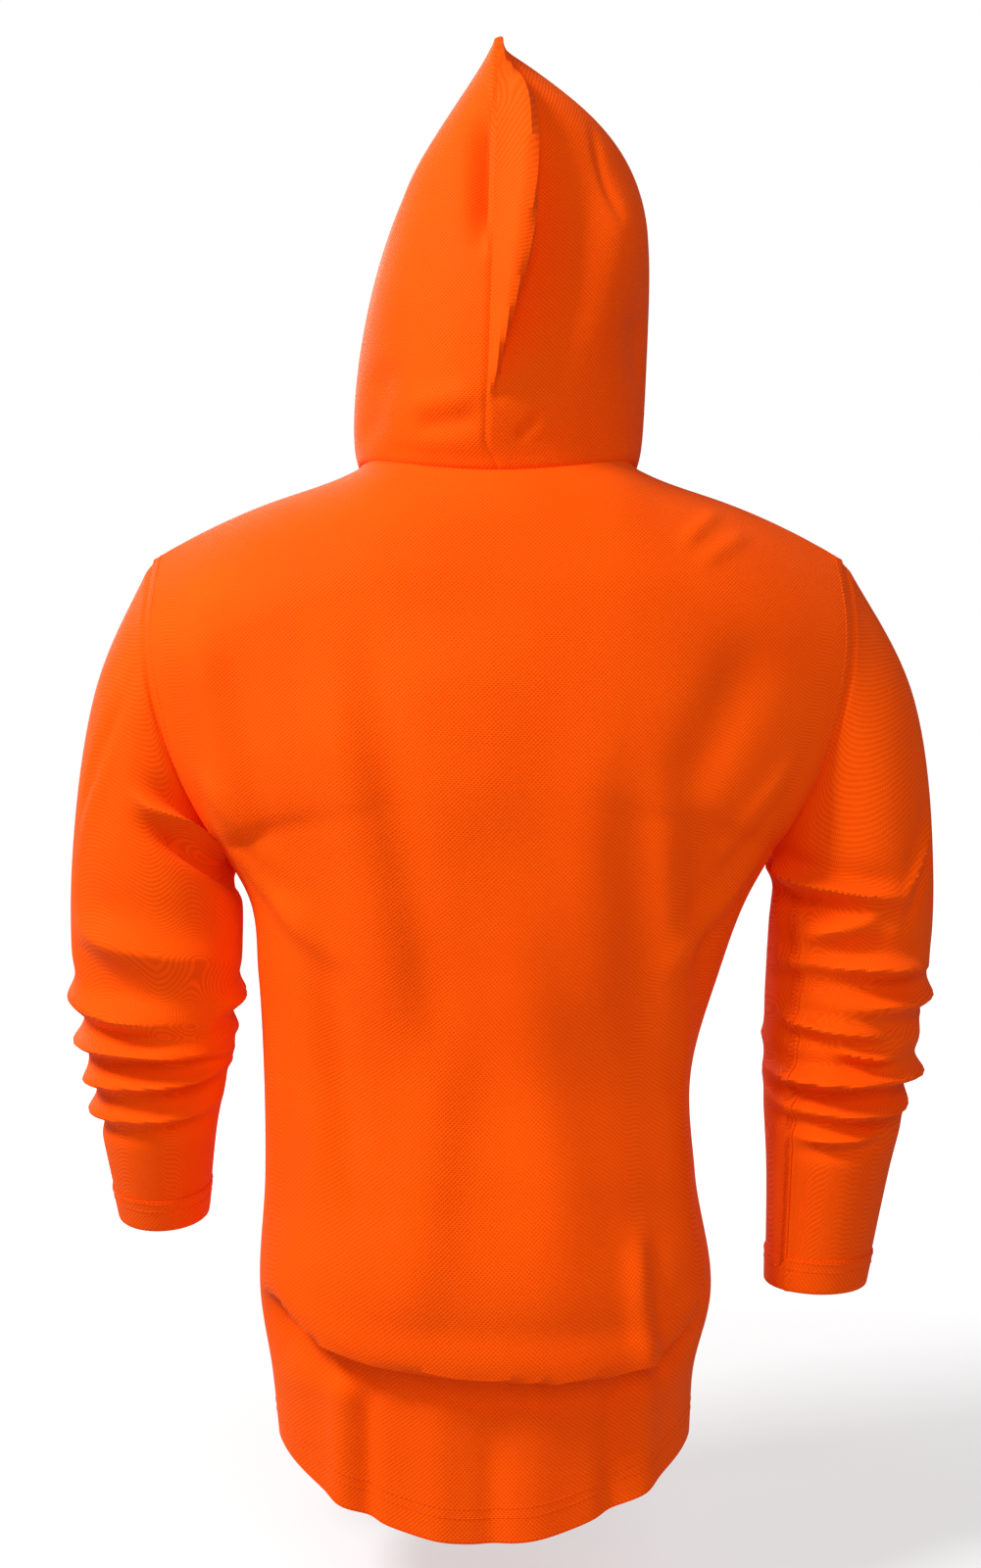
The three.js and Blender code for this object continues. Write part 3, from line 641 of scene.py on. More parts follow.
def hood_crown(s):
    """The hood's top seam, from the peak forward to the face opening."""
    z = lerp(PEAK_Z, FACE_TOP_Z, s) + TOP_RISE * np.sin(math.pi * s)
    return stack(0, lerp(PEAK_Y, FACE_TOP_Y, s), z)


def hood_neck(s):
    """The hood's foot on the neck seam, from the nape round to just past the throat."""
    return neck_seam(lerp(90, -90 - THROAT_OVERLAP, s))


def hood_face(h):
    """The edge of the face opening, from the throat to the top."""
    low = hood_neck(np.ones_like(h))
    bow = np.sin(math.pi * h ** 0.85)
    return stack(low[..., 0] * (1 - h) + FACE_HALF * np.maximum(bow, 0) ** 0.75,
                 lerp(low[..., 1], FACE_TOP_Y, h) - FACE_BOW * bow, lerp(low[..., 2], FACE_TOP_Z, h))


def hood_point(side, s, h):
    """A point of a hood panel: s from the centre seam to the face edge, h from the neck to the crown."""
    s, h = np.broadcast_arrays(np.asarray(s, float), np.asarray(h, float))
    zero, one = np.zeros_like(s), np.ones_like(s)
    a, b = s[..., None], h[..., None]
    p = (hood_back(h) * (1 - a) + hood_face(h) * a + hood_neck(s) * (1 - b) + hood_crown(s) * b
         - hood_neck(zero) * (1 - a) * (1 - b) - hood_neck(one) * a * (1 - b)
         - hood_crown(zero) * (1 - a) * b - hood_crown(one) * a * b)
    p[..., 0] += HOOD_BULGE[side] * np.sin(math.pi * np.sqrt(s)) * np.sin(math.pi * h ** BULGE_RISE)
    lapped = smooth(0.8, 0.92, s) * (1 - smooth(0.3, 0.5, h))
    p[..., 1] -= SIGN[side] * lapped * LAP_STANDOFF
    p[..., 0] *= SIGN[side]
    p[..., 2] += SEAM_CLEAR
    return p


# ---------- seams and folds ----------


def crease(x, z, start, end, width, height):
    """A soft ridge (or, below 0, a valley) that runs from start to end and dies out at both."""
    (x0, z0), (x1, z1) = start, end
    run = math.hypot(x1 - x0, z1 - z0)
    along = ((x - x0) * (x1 - x0) + (z - z0) * (z1 - z0)) / run ** 2
    off = ((x - x0) * (z1 - z0) - (z - z0) * (x1 - x0)) / run
    taper = smooth(-0.1, 0.3, along) * (1 - smooth(0.7, 1.1, along))
    return height * np.exp(-(off / width) ** 2) * taper


def fold(x, z, start, end, width, height):
    """A fold of cloth: a rounded ridge with a narrower valley along its left side."""
    (x0, z0), (x1, z1) = start, end
    run = math.hypot(x1 - x0, z1 - z0)
    side_x, side_z = np.array([z1 - z0, -(x1 - x0)]) / run * width * 1.3
    beside = (x0 + side_x, z0 + side_z), (x1 + side_x, z1 + side_z)
    return crease(x, z, start, end, width, height) + crease(x, z, *beside, width * 0.75, -0.55 * height)


def laid(table, x, z):
    """The depth of all the folds and creases of a table."""
    return sum(shape(x, z, start, end, width, height) for shape, start, end, width, height in table)


def drawn_in(sheet, edges):
    """Draws the cloth in along its sewn edges: first_row, last_row, first_column, last_column."""
    along, across = lengths(sheet, 0), lengths(sheet, 1)
    distance = {"first_row": along, "last_row": along[-1:] - along, "first_column": across,
                "last_column": across[:, -1:] - across}
    depth = np.zeros(sheet.places.shape[:2])
    for edge in edges:
        near = distance[edge][:, :sheet.places.shape[1]]
        depth = np.maximum(depth, SEAM_TUCK * (1 - smooth(0, SEAM_WIDTH, near)))
    return moved(sheet, -depth)


def nearest(points, line):
    """For each point, the nearest place on a line."""
    run = np.concatenate([[0], np.cumsum(np.linalg.norm(np.diff(line, axis=0), axis=-1))])
    fine = np.linspace(0, run[-1], int(run[-1] / 0.0004))
    dense = np.stack([np.interp(fine, run, line[:, k]) for k in range(3)], 1)
    away = np.linalg.norm(points[:, None] - dense[None], axis=-1)
    return dense[away.argmin(1)]


def pulled(sheet, edge, target):
    """The sheet with one edge moved onto target, easing off over PULL_REACH: first_row, ..."""
    places = sheet.places.copy()
    rows, columns = places.shape[:2]
    if edge in ("first_row", "last_row"):
        row = 0 if edge == "first_row" else rows - 1
        away = np.abs(lengths(sheet, 0) - lengths(sheet, 0)[row])
        shift = (target - places[row])[None, :]
    else:
        column = 0 if edge == "first_column" else columns - 1
        span = lengths(sheet, 1)[:, :columns]
        away = np.abs(span - span[:, column, None])
        shift = (target - places[:, column])[:, None]
    places = places + shift * (1 - smooth(0, PULL_REACH, away))[..., None]
    return Sheet(places, normals_of(places, sheet.closed, handedness(sheet)), sheet.closed)


EDGE_STEPS = np.array([0, 0.004, 0.009, 0.015, 0.022])


def body_columns():
    """Where a body panel's columns lie, from -1 at the wearer's right seam to 1 at the left."""
    inner = np.linspace(-0.97, 0.97, 125)
    return np.concatenate([-1 + EDGE_STEPS, inner, (1 - EDGE_STEPS)[::-1]])


def body_sheet(face):
    """The back (face 1) or front (face -1) panel with its folds and its sewn edges drawn in."""
    us = body_columns()
    turn = np.radians(np.concatenate([np.arange(88, 2, -2.5), [2.0, 1.0, 0.4, 0]]))
    shoulder = 1 - (1 - np.cos(turn)) * SHOULDER_ROUND / (SHOULDER_Z - HEM_SIDE_Z)
    vs = np.concatenate([np.linspace(0, shoulder[0] - 0.006, 145), shoulder])
    places = body_point(face, us[None, :], vs[:, None])
    from_top = lengths(Sheet(places, None, False), 0)
    from_top = from_top[-1:] - from_top
    loose = 0.5 * smooth(0.0, 0.03, from_top) * (1 - smooth(0.16, 0.26, from_top))
    loose = loose * smooth(0.02, 0.10, 1 - np.abs(us))[None, :]
    for _ in range(90):
        middle = (places[:, 2:] + places[:, :-2]) / 2
        places[:, 1:-1] += (middle - places[:, 1:-1]) * loose[:, 1:-1, None]
    sheet = Sheet(places, normals_of(places, False, -face), False)
    x, z = places[..., 0], places[..., 2]
    depth = back_folds(x, z) if face > 0 else laid(FRONT_FOLDS, x, z)
    sheet = moved(sheet, depth * smooth(0, 0.12, 1 - np.abs(us))[None, :])
    return drawn_in(sheet, ["last_row", "first_column", "last_column"])


# Folds and creases: where each starts and ends in x and z, its width and its height.
BACK_FOLDS = (
    (fold, (0.214, -0.100), (0.182, -0.270), 0.018, 0.0055),
    (fold, (0.120, -0.120), (0.064, -0.420), 0.022, 0.0065),
    (fold, (-0.112, -0.220), (-0.138, -0.590), 0.017, 0.008),
    (fold, (0.146, -0.290), (0.118, -0.520), 0.016, 0.0055),
    (fold, (-0.062, -0.190), (-0.070, -0.400), 0.024, 0.0035),
    (crease, (-0.010, -0.300), (-0.050, -0.580), 0.028, 0.007),
    (crease, (0.040, -0.380), (0.060, -0.600), 0.024, 0.006),
    (fold, (-0.095, -0.530), (-0.102, -0.640), 0.009, 0.006),
    (crease, (0.206, -0.236), (0.110, -0.345), 0.009, 0.008),
    (crease, (0.212, -0.205), (0.140, -0.290), 0.007, 0.005),
    (crease, (-0.204, -0.236), (-0.115, -0.350), 0.009, 0.008),
    (crease, (-0.210, -0.200), (-0.140, -0.285), 0.007, 0.004),
    (crease, (-0.180, -0.120), (-0.120, -0.240), 0.020, -0.005),
    (crease, (-0.126, -0.054), (-0.158, -0.024), 0.005, 0.0024),
    (crease, (-0.138, -0.068), (-0.176, -0.042), 0.005, 0.0020),
    (crease, (0.020, -0.110), (0.010, -0.260), 0.050, 0.004),
)
FRONT_FOLDS = (
    (fold, (0.120, -0.150), (0.050, -0.400), 0.018, 0.005),
    (fold, (-0.110, -0.170), (-0.070, -0.420), 0.016, 0.005),
    (crease, (0.195, -0.250), (0.110, -0.330), 0.010, 0.005),
    (crease, (-0.195, -0.250), (-0.115, -0.340), 0.010, 0.005),
    (crease, (0.060, -0.430), (0.075, -0.700), 0.020, 0.005),
    (crease, (-0.020, -0.450), (-0.030, -0.705), 0.022, 0.0045),
    (crease, (-0.105, -0.430), (-0.110, -0.700), 0.016, 0.005),
    (crease, (0.120, -0.470), (0.125, -0.690), 0.014, 0.004),
)
# On the hood's left panel, a hollow beside the centre seam, soft long folds and small ones at its foot.
# On its right, what lies beyond the flap.
HOOD_FOLDS = {
    "left": (
        (crease, (0.0110, 0.268), (0.0110, 0.150), 0.0095, -0.013),
        (crease, (0.045, 0.262), (0.082, 0.080), 0.020, 0.005),
        (crease, (0.012, 0.034), (0.060, 0.030), 0.008, -0.0022),
        (crease, (0.012, 0.050), (0.066, 0.047), 0.010, 0.0022),
        (crease, (0.080, 0.080), (0.096, 0.020), 0.012, -0.003),
    ),
    "right": (
        (crease, (-0.056, 0.066), (-0.100, 0.210), 0.022, 0.009),
        (crease, (-0.012, 0.020), (-0.030, 0.038), 0.004, -0.0016),
        (crease, (-0.076, 0.008), (-0.104, 0.022), 0.006, 0.004),
        (crease, (-0.100, 0.120), (-0.104, 0.060), 0.010, -0.004),
        (crease, (-0.068, 0.252), (-0.086, 0.175), 0.0035, -0.0022),
    ),
}

# The ledge where the back rests on the hips, and the upright pleats of the tail below it: place, width
# and height.
LEDGE_X = np.array([-0.145, -0.135, -0.114, -0.085, -0.040, 0.028, 0.085, 0.119, 0.141, 0.155])
LEDGE_Z = np.array([-0.569, -0.596, -0.612, -0.621, -0.6245, -0.621, -0.615, -0.608, -0.5955, -0.581])
LEDGE_DEPTH = 0.018
TAIL_PLEATS = (
    (0.108, 0.010, 0.006), (0.090, 0.007, -0.004), (-0.100, 0.010, 0.006), (-0.078, 0.008, -0.004),
    (0.040, 0.016, 0.003), (-0.025, 0.018, 0.003), (0.004, 0.010, -0.003),
)


def back_folds(x, z):
    """Long soft folds below the shoulder blades, the ledge at the hips and the pleated tail."""
    ledge = np.interp(x, LEDGE_X, LEDGE_Z)
    depth = laid(BACK_FOLDS, x, z)
    depth += LEDGE_DEPTH * (smooth(ledge - 0.007, ledge + 0.005, z) - smooth(-0.642, -0.588, z))
    depth += 0.003 * np.exp(-((z - ledge - 0.014) / 0.012) ** 2)
    depth -= 0.004 * np.exp(-((z - ledge + 0.016) / 0.010) ** 2)
    below = 1 - smooth(ledge - 0.03, ledge - 0.005, z)
    for middle, width, height in TAIL_PLEATS:
        depth += below * height * np.exp(-((x - middle) / width) ** 2)
    return depth


# The flap is a fold that lies over the centre seam: its free edge by height, how far it stands up, and
# the depth and width of the hollow beyond it.
FLAP_Z = np.array([0.030, 0.0415, 0.078, 0.114, 0.158, 0.201, 0.235, 0.262, 0.284, 0.301])
FLAP_X = np.array([0.009, 0.0067, -0.0023, -0.013, -0.024, -0.0275, -0.0275, -0.0235, -0.0145, -0.003])
FLAP_HEIGHT = 0.0110
HOLLOW_DEPTH = 0.0230
HOLLOW_WIDTH = 0.040


def flap(x, z):
    heights = np.linspace(FLAP_Z[0], FLAP_Z[-1], 200)
    edge = track(FLAP_Z, FLAP_X[:, None], heights).ravel()
    past = np.interp(z, heights, edge) - x
    tall = smooth(0.036, 0.075, z) * (1 - smooth(0.255, 0.298, z))
    deep = smooth(0.040, 0.110, z) * (1 - 0.75 * smooth(0.190, 0.270, z))
    raised = tall * (1 - smooth(-0.0030, 0.0022, past))
    sunk = deep * smooth(-0.001, 0.0035, past) * np.exp(-(np.maximum(past, 0) / HOLLOW_WIDTH) ** 1.4)
    return FLAP_HEIGHT * raised - HOLLOW_DEPTH * sunk


def hood_folds(side, places):
    """The folds of a hood panel, which are all behind the wearer's ears."""
    x, y, z = (places[..., k] for k in range(3))
    depth = laid(HOOD_FOLDS[side], x, z)
    if side == "right":
        depth += flap(x, z)
    return depth * smooth(0.0, 0.03, y)


HOOD_COLUMNS = np.concatenate([EDGE_STEPS, np.linspace(0.028, 0.22, 74), np.linspace(0.235, 1, 58)])
HOOD_ROWS = np.concatenate([EDGE_STEPS, np.linspace(0.03, 0.97, 170), (1 - EDGE_STEPS)[::-1]])


def hood_sheet(side):
    """A hood panel, blunt at the tip, with its folds and its sewn edges drawn in."""
    ss, hs = HOOD_COLUMNS, HOOD_ROWS
    places = hood_point(side, ss[None, :], hs[:, None])
    lean = SEAM_DRIFT * (1 - hs) ** 1.3 * smooth(0, 0.06, hs)
    places[..., 0] += lean[:, None] * (1 - smooth(0, 0.3, ss))[None, :]
    over = np.maximum(places[..., 2] - (PEAK_Z - TIP_ROUND), 0)
    places[..., 2] -= 0.6 * over ** 2 / TIP_ROUND
    sheet = Sheet(places, normals_of(places, False, -SIGN[side]), False)
    fade = (smooth(0, 0.05, hs) * smooth(0, 0.03, 1 - hs))[:, None] * smooth(0, 0.012, ss)[None, :]
    sheet = moved(sheet, hood_folds(side, places) * fade)
    return drawn_in(sheet, ["first_row", "last_row", "first_column"])


SLEEVE_TURNS = np.concatenate([[0, 0.004, 0.009, 0.015, 0.023], np.linspace(0.035, 0.965, 110),
                               [0.977, 0.985, 0.991, 0.996]])
SLEEVE_STEPS = np.concatenate([EDGE_STEPS * 0.6, np.linspace(0.02, 1, 270)])


# Creases where a sleeve is pushed up the arm: from angle and height to angle and height, how far the line
# sags, its half width and its depth. Angle 0 is the outside of the arm, 90 the back and 180 the inside.
SLEEVE_CREASES = {
    "left": [
        (84, -0.230, 186, -0.282, 0.000, 0.0065, 0.016), (118, -0.206, 176, -0.246, 0.000, 0.0060, 0.009),
        (30, -0.318, 156, -0.346, 0.008, 0.012, 0.009), (-22, -0.362, 112, -0.392, 0.004, 0.0070, 0.008),
        (146, -0.380, 215, -0.368, 0.000, 0.006, 0.008), (-40, -0.396, 180, -0.411, 0.006, 0.0050, 0.010),
        (-5, -0.430, 184, -0.418, 0.009, 0.0046, 0.009), (-30, -0.447, 172, -0.446, 0.012, 0.0046, 0.007),
        (205, -0.366, 322, -0.346, 0.005, 0.009, 0.006), (190, -0.398, 338, -0.376, 0.006, 0.0065, 0.008),
        (192, -0.421, 366, -0.413, 0.007, 0.0055, 0.007), (215, -0.446, 330, -0.436, 0.004, 0.0055, 0.005),
        (230, -0.260, 185, -0.285, 0.000, 0.006, 0.007), (66, -0.160, 30, -0.240, 0.000, 0.014, -0.003),
    ],
    "right": [
        (176, -0.280, 56, -0.301, 0.003, 0.0058, 0.012), (140, -0.328, 66, -0.306, 0.004, 0.009, 0.006),
        (174, -0.342, 10, -0.350, 0.003, 0.0060, 0.009), (100, -0.378, -20, -0.362, 0.004, 0.0065, 0.007),
        (150, -0.384, 62, -0.398, 0.003, 0.0048, 0.008), (104, -0.407, 52, -0.414, 0.002, 0.004, 0.007),
        (178, -0.424, -25, -0.420, 0.008, 0.0054, 0.011), (168, -0.444, 2, -0.446, 0.008, 0.0050, 0.008),
        (135, -0.470, 40, -0.466, 0.004, 0.0040, 0.005), (62, -0.302, 22, -0.240, 0.000, 0.008, 0.004),
        (200, -0.330, 320, -0.314, 0.004, 0.009, 0.006), (200, -0.368, 326, -0.350, 0.005, 0.0075, 0.007),
        (185, -0.402, 362, -0.384, 0.006, 0.0065, 0.008), (190, -0.430, 335, -0.436, 0.004, 0.0060, 0.007),
        (215, -0.456, 350, -0.462, 0.003, 0.0055, 0.005), (230, -0.262, 185, -0.288, 0.000, 0.006, 0.007),
    ],
}


def sleeve_depth(side, degrees, z):
    """How far a sleeve's cloth stands out: a sharp valley along each crease, with a roll on both sides."""
    depth = np.zeros(z.shape)
    for first, z0, second, z1, sag, width, deep in SLEEVE_CREASES[side]:
        middle = (first + second) / 2
        turned = (degrees - middle + 180) % 360 - 180
        along = 0.5 + turned / (second - first)
        line = lerp(z0, z1, along) - sag * np.sin(math.pi * np.clip(along, 0, 1))
        above = (z - line) / width
        ends = smooth(-0.10, 0.35, along) * (1 - smooth(0.65, 1.10, along))
        uneven = 1 + 0.25 * np.sin(np.radians(degrees) * 3 + first)
        valley = -np.exp(-np.abs(above) ** 1.5)
        low_roll = 0.75 * np.exp(-((above + 2.2) / 1.5) ** 2)
        high_roll = 0.30 * np.exp(-((above - 2.2) / 1.5) ** 2)
        depth += deep * ends * uneven * (valley + low_roll + high_roll)
    return depth


def sleeve_sheet(side, line):
    """A sleeve with its bunched folds, its seam drawn in and its top edge on the armhole's line."""
    ts = SLEEVE_STEPS[:, None]
    degrees = 180 + SEAM_TWIST[side] * smooth(0.05, 0.5, ts) + 360 * SLEEVE_TURNS[None, :]
    places = sleeve_point(side, degrees, ts * np.ones_like(degrees))
    sheet = Sheet(places, normals_of(places, True, SIGN[side]), True)
    sheet = moved(sheet, sleeve_depth(side, degrees, places[..., 2]) * smooth(0, 0.08, ts))
    sheet = drawn_in(sheet, ["first_row", "first_column", "last_column"])
    return pulled(sheet, "first_row", nearest(sheet.places[0], line))


# ---------- sewing ----------


def turned_in(name, sheet, height, columns, closed=False):
    """Cloth turned in at a sheet's first row: round the edge, then up behind the panel."""
    profile = [(0.0000, -0.0008), (0.0005, -0.0007), (0.0009, -0.0002), (LAYER, 0.0008)]
    profile += [(LAYER, d) for d in np.linspace(0.003, height, 8)]
    rows = np.array([rows_at(sheet, d, columns) for _, d in profile])
    inward = -np.array([depth for depth, _ in profile])[:, None]
    made = patch(sheet, rows, np.broadcast_to(columns, rows.shape), inward, closed)
    made = Sheet(made.places, normals_of(made.places, closed, handedness(sheet)), closed)
    return shell(name, made, MESH)


def line_of_stitches(name, sheet, distance, columns, inside=True):
    """Stitches at a distance in from the first row, and their loops on the wrong side of the hem."""
    rows = rows_at(sheet, distance, columns)
    places, normals = sample(sheet, rows, columns)
    parts = [stitches(name, places + normals * CLOTH / 2, normals)]
    if inside:
        under = places - normals * (LAYER + CLOTH / 2)
        parts.append(stitches(name + "_loops", under, -normals, STITCH_PITCH * 0.96))
    return join(name, parts)


def overlock(name, sheet, rows, column):
    """The seam allowance inside a seam, edged with a zigzag of thread. column is the seam's own."""
    spacing = lengths(sheet, 1)
    inward = 1 if column == 0 else -1
    out = []
    for row in rows:
        line = np.abs(spacing[int(round(row))] - spacing[int(round(row)), column])
        order = line if inward > 0 else line[::-1]
        at = np.interp(np.linspace(0.0008, SEAM_ALLOWANCE, 5), order, np.arange(len(order)))
        out.append(at if inward > 0 else len(order) - 1 - at)
    columns = np.array(out)
    grid_rows = np.broadcast_to(np.asarray(rows, float)[:, None], columns.shape)
    lift = -(LAYER + np.linspace(0, 0.0006, 5))[None, :]
    allowance = patch(sheet, grid_rows, columns, lift)
    allowance = Sheet(allowance.places, normals_of(allowance.places, False, handedness(sheet)), False)
    strip = shell(name, allowance, MESH)
    middle, normals = resampled(allowance.places[:, 3], allowance.normals[:, 3], ZIGZAG_PITCH)
    edge, _ = resampled(allowance.places[:, 4], allowance.normals[:, 4], ZIGZAG_PITCH)
    inner, _ = resampled(allowance.places[:, 1], allowance.normals[:, 1], ZIGZAG_PITCH)
    count = min(len(middle), len(edge), len(inner))
    swing = (np.arange(count) % 2)[:, None]
    path = np.where(swing > 0, edge[:count], inner[:count]) - normals[:count] * (CLOTH / 2 + THREAD)
    zigzag = thread(name + "_thread", path, -normals[:count], THREAD * 0.8)
    return join(name, [strip, zigzag])


def with_sleeve(piece, node):
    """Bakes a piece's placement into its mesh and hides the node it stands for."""
    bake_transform(piece)
    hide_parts(node)


def with_hood(piece, node):
    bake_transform(piece)
    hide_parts(node)


def with_body(piece, node):
    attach(piece, "shirt_body")
    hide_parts(node)


def join_body(back, front):
    """The two body panels with their side and shoulder edges brought together."""
    for edge, column in (("first_column", 0), ("last_column", back.places.shape[1] - 1)):
        a, b = back.places[:, column], front.places[:, column]
        low = (a[:, 2] < UNDERARM_Z)[:, None]
        for_back, for_front = [np.where(low, (a + b) / 2, line) for line in (a, b)]
        back, front = pulled(back, edge, for_back), pulled(front, edge, for_front)
    a, b = back.places[-1], front.places[-1]
    shoulder = (np.abs(body_columns()) >= NECK_SHARE)[:, None]
    return [pulled(s, "last_row", np.where(shoulder, (a + b) / 2, s.places[-1])) for s in (back, front)]


def neckline(sheets):
    """The body's neck edge: from the middle of the throat up both sides to the nape, as two lines."""
    neck = np.abs(body_columns()) <= NECK_SHARE * 1.02
    whole = {}
    for side, sign in SIGN.items():
        half = neck & (body_columns() * sign >= -1e-6)
        back, front = sheets["back"].places[-1][half], sheets["front"].places[-1][half]
        order = slice(None) if sign > 0 else slice(None, None, -1)
        whole[side] = np.concatenate([back[order], front[order][::-1]])
    return whole


def armhole_line(sheets, side):
    """The body's armhole edge: up the back to the shoulder, then down the front."""
    column = -1 if side == "left" else 0
    lines = []
    for name in ("back", "front"):
        line = sheets[name].places[:, column]
        lines.append(line[line[:, 2] >= UNDERARM_Z - 0.003])
    return np.concatenate([lines[0], lines[1][::-1]])


def body_index(shares):
    """The fractional columns of a body panel at places across it, from -1 to 1."""
    columns = body_columns()
    return np.interp(shares, columns, np.arange(len(columns)))


def row_of_height(sheet, column, z):
    line = sheet.places[:, column, 2]
    return float(np.interp(z, line, np.arange(len(line))))


def tape_along(name, sheet, start, columns):
    """A strip of tape inside the cloth, at a distance from its first row."""
    rows = np.array([rows_at(sheet, d, columns) for d in np.linspace(start, start + TAPE_WIDTH, 6)])
    tape = patch(sheet, rows, np.broadcast_to(columns, rows.shape), -LAYER)
    return shell(name, tape, TAPE, TAPE_THICKNESS)


def armhole_stitches(side, sheets):
    """Stitching on the body beside the sleeve seam: up the back, then down the front."""
    paths, normals = [], []
    for name, order in (("back", slice(None)), ("front", slice(None, None, -1))):
        sheet = sheets[name]
        last = sheet.places.shape[1] - 1
        column = last if side == "left" else 0
        across = lengths(sheet, 1)
        low = row_of_height(sheet, column, UNDERARM_Z + 0.008)
        levels = np.linspace(low, sheet.places.shape[0] - 1.5, 90)
        columns = []
        for level in levels:
            line = across[int(round(level))]
            line = line if column == 0 else line[-1] - line[::-1]
            at = float(np.interp(SEAM_TO_STITCHES, line, np.arange(len(line))))
            columns.append(at if column == 0 else last - at)
        place, normal = sample(sheet, levels, np.array(columns))
        paths.append(place[order])
        normals.append(normal[order])
    path, normal = np.concatenate(paths), np.concatenate(normals)
    return stitches(f"{side}_armhole_sewing", path + normal * CLOTH / 2, normal)


def sew_body_side(side, sheets):
    """The side seam, the armhole's stitching and the tape inside the shoulder seam."""
    back = sheets["back"]
    column = back.places.shape[1] - 1 if side == "left" else 0
    rows = np.arange(6, row_of_height(back, column, UNDERARM_Z - 0.006))
    seam = overlock(f"{side}_side_seam", back, rows, column)
    with_body(seam, f"{side}_side_seam_overlock")
    with_body(armhole_stitches(side, sheets), f"{side}_armhole_stitch")
    ends = np.array([NECK_SHARE * 1.02, 0.97]) * SIGN[side]
    columns = np.linspace(*body_index(ends), 60)
    tape = tape_along(f"{side}_shoulder_tape_cloth", rows_reversed(back), 0.0015, columns)
    with_body(tape, f"{side}_shoulder_tape")


def label(name, sheet, rows, columns):
    """A blank label behind the cloth: it stands off a little more toward its free end."""
    rows = np.linspace(*rows, 14)[:, None] * np.ones(14)
    columns = np.ones(14)[:, None] * np.linspace(*columns, 14)[None, :]
    free = np.linspace(1, 0, 14)[:, None] ** 2
    return shell(name, patch(sheet, rows, columns, -(LAYER + LABEL_GAP * free)), LABEL, LABEL_THICKNESS)


def sew_labels(back):
    """The nape label under the neck seam and the care label by the left side seam."""
    rows, columns = back.places.shape[:2]
    upside, centre = rows_reversed(back), [(columns - 1) / 2]
    reach = [rows - 1 - rows_at(upside, distance, centre)[0] for distance in NAPE_LABEL_REACH]
    nape = label("nape_label_satin", back, reach, body_index([-0.085, 0.085]))
    with_body(nape, "nape_label")
    spans = body_index([0.84, 0.94])
    reach = [rows_at(back, distance, [spans[0]])[0] for distance in CARE_LABEL_REACH]
    care = label("care_label_satin", back, reach, spans)
    with_body(care, "care_label")


def sew_body():
    """Both body panels with their hems, stitching, tapes and labels, and the panels' sheets."""
    back, front = join_body(body_sheet(1), body_sheet(-1))
    sheets = {"back": back, "front": front}
    for name, sheet in sheets.items():
        with_body(shell(f"{name}_cloth", sheet, MESH), f"{name}_panel")
        last = sheet.places.shape[1] - 1
        hem = turned_in(f"{name}_hem_fold", sheet, HEM_HEIGHT, np.arange(0, last + 1))
        with_body(hem, f"{name}_hem_turn_up")
        around = np.linspace(0, last, 420)
        for level, share in STITCH_ROWS:
            row = line_of_stitches(f"{name}_hem_sewing_{level}", sheet, share * HEM_HEIGHT, around)
            with_body(row, f"hem_stitch_{level}")
        # The line of stitching just under the neck seam.
        reach = NECK_STITCH_REACH[name] * NECK_SHARE
        around = np.linspace(*body_index([-reach, reach]), 160)
        upside = rows_reversed(sheet)
        neck = line_of_stitches(f"{name}_neck_sewing", upside, SEAM_TO_STITCHES, around, inside=False)
        with_body(neck, f"{name}_neck_topstitch")
    for side in SIGN:
        sew_body_side(side, sheets)
    sew_labels(back)
    return sheets


def sew_sleeve(side, line):
    """A sleeve on its armhole's line, with its stitched cuff and its overlocked seam."""
    sheet = sleeve_sheet(side, line)
    rows, columns = sheet.places.shape[:2]
    with_sleeve(shell(f"{side}_sleeve_cloth", sheet, MESH), f"{side}_sleeve")
    upside = rows_reversed(sheet)
    cuff = turned_in(f"{side}_cuff_fold", upside, CUFF_HEM, np.arange(columns), closed=True)
    with_sleeve(cuff, f"{side}_cuff_turn_up")
    around = np.linspace(0, columns, 200)
    for level, share in STITCH_ROWS:
        row = line_of_stitches(f"{side}_cuff_sewing_{level}", upside, share * CUFF_HEM, around)
        with_sleeve(row, f"{side}_cuff_stitch_{level}")
    opened = Sheet(sheet.places, sheet.normals, False)
    seam = overlock(f"{side}_sleeve_seam", opened, np.arange(4, rows - 9), 0)
    with_sleeve(seam, f"{side}_sleeve_seam_overlock")


def join_hood(necklines):
    """The two hood panels with their centre seam brought together and their foot on the neckline."""
    sheets = {side: hood_sheet(side) for side in SIGN}
    for edge, line in (("first_column", np.s_[:, 0]), ("last_row", np.s_[-1])):
        middle = (sheets["left"].places[line] + sheets["right"].places[line]) / 2
        sheets = {side: pulled(sheet, edge, middle) for side, sheet in sheets.items()}
    for side, sheet in sheets.items():
        foot = nearest(sheet.places[0], necklines[side])
        lapped = np.linspace(0, 1, len(foot))[:, None] > 0.9
        sheets[side] = pulled(sheet, "first_row", np.where(lapped, sheet.places[0], foot))
    return sheets


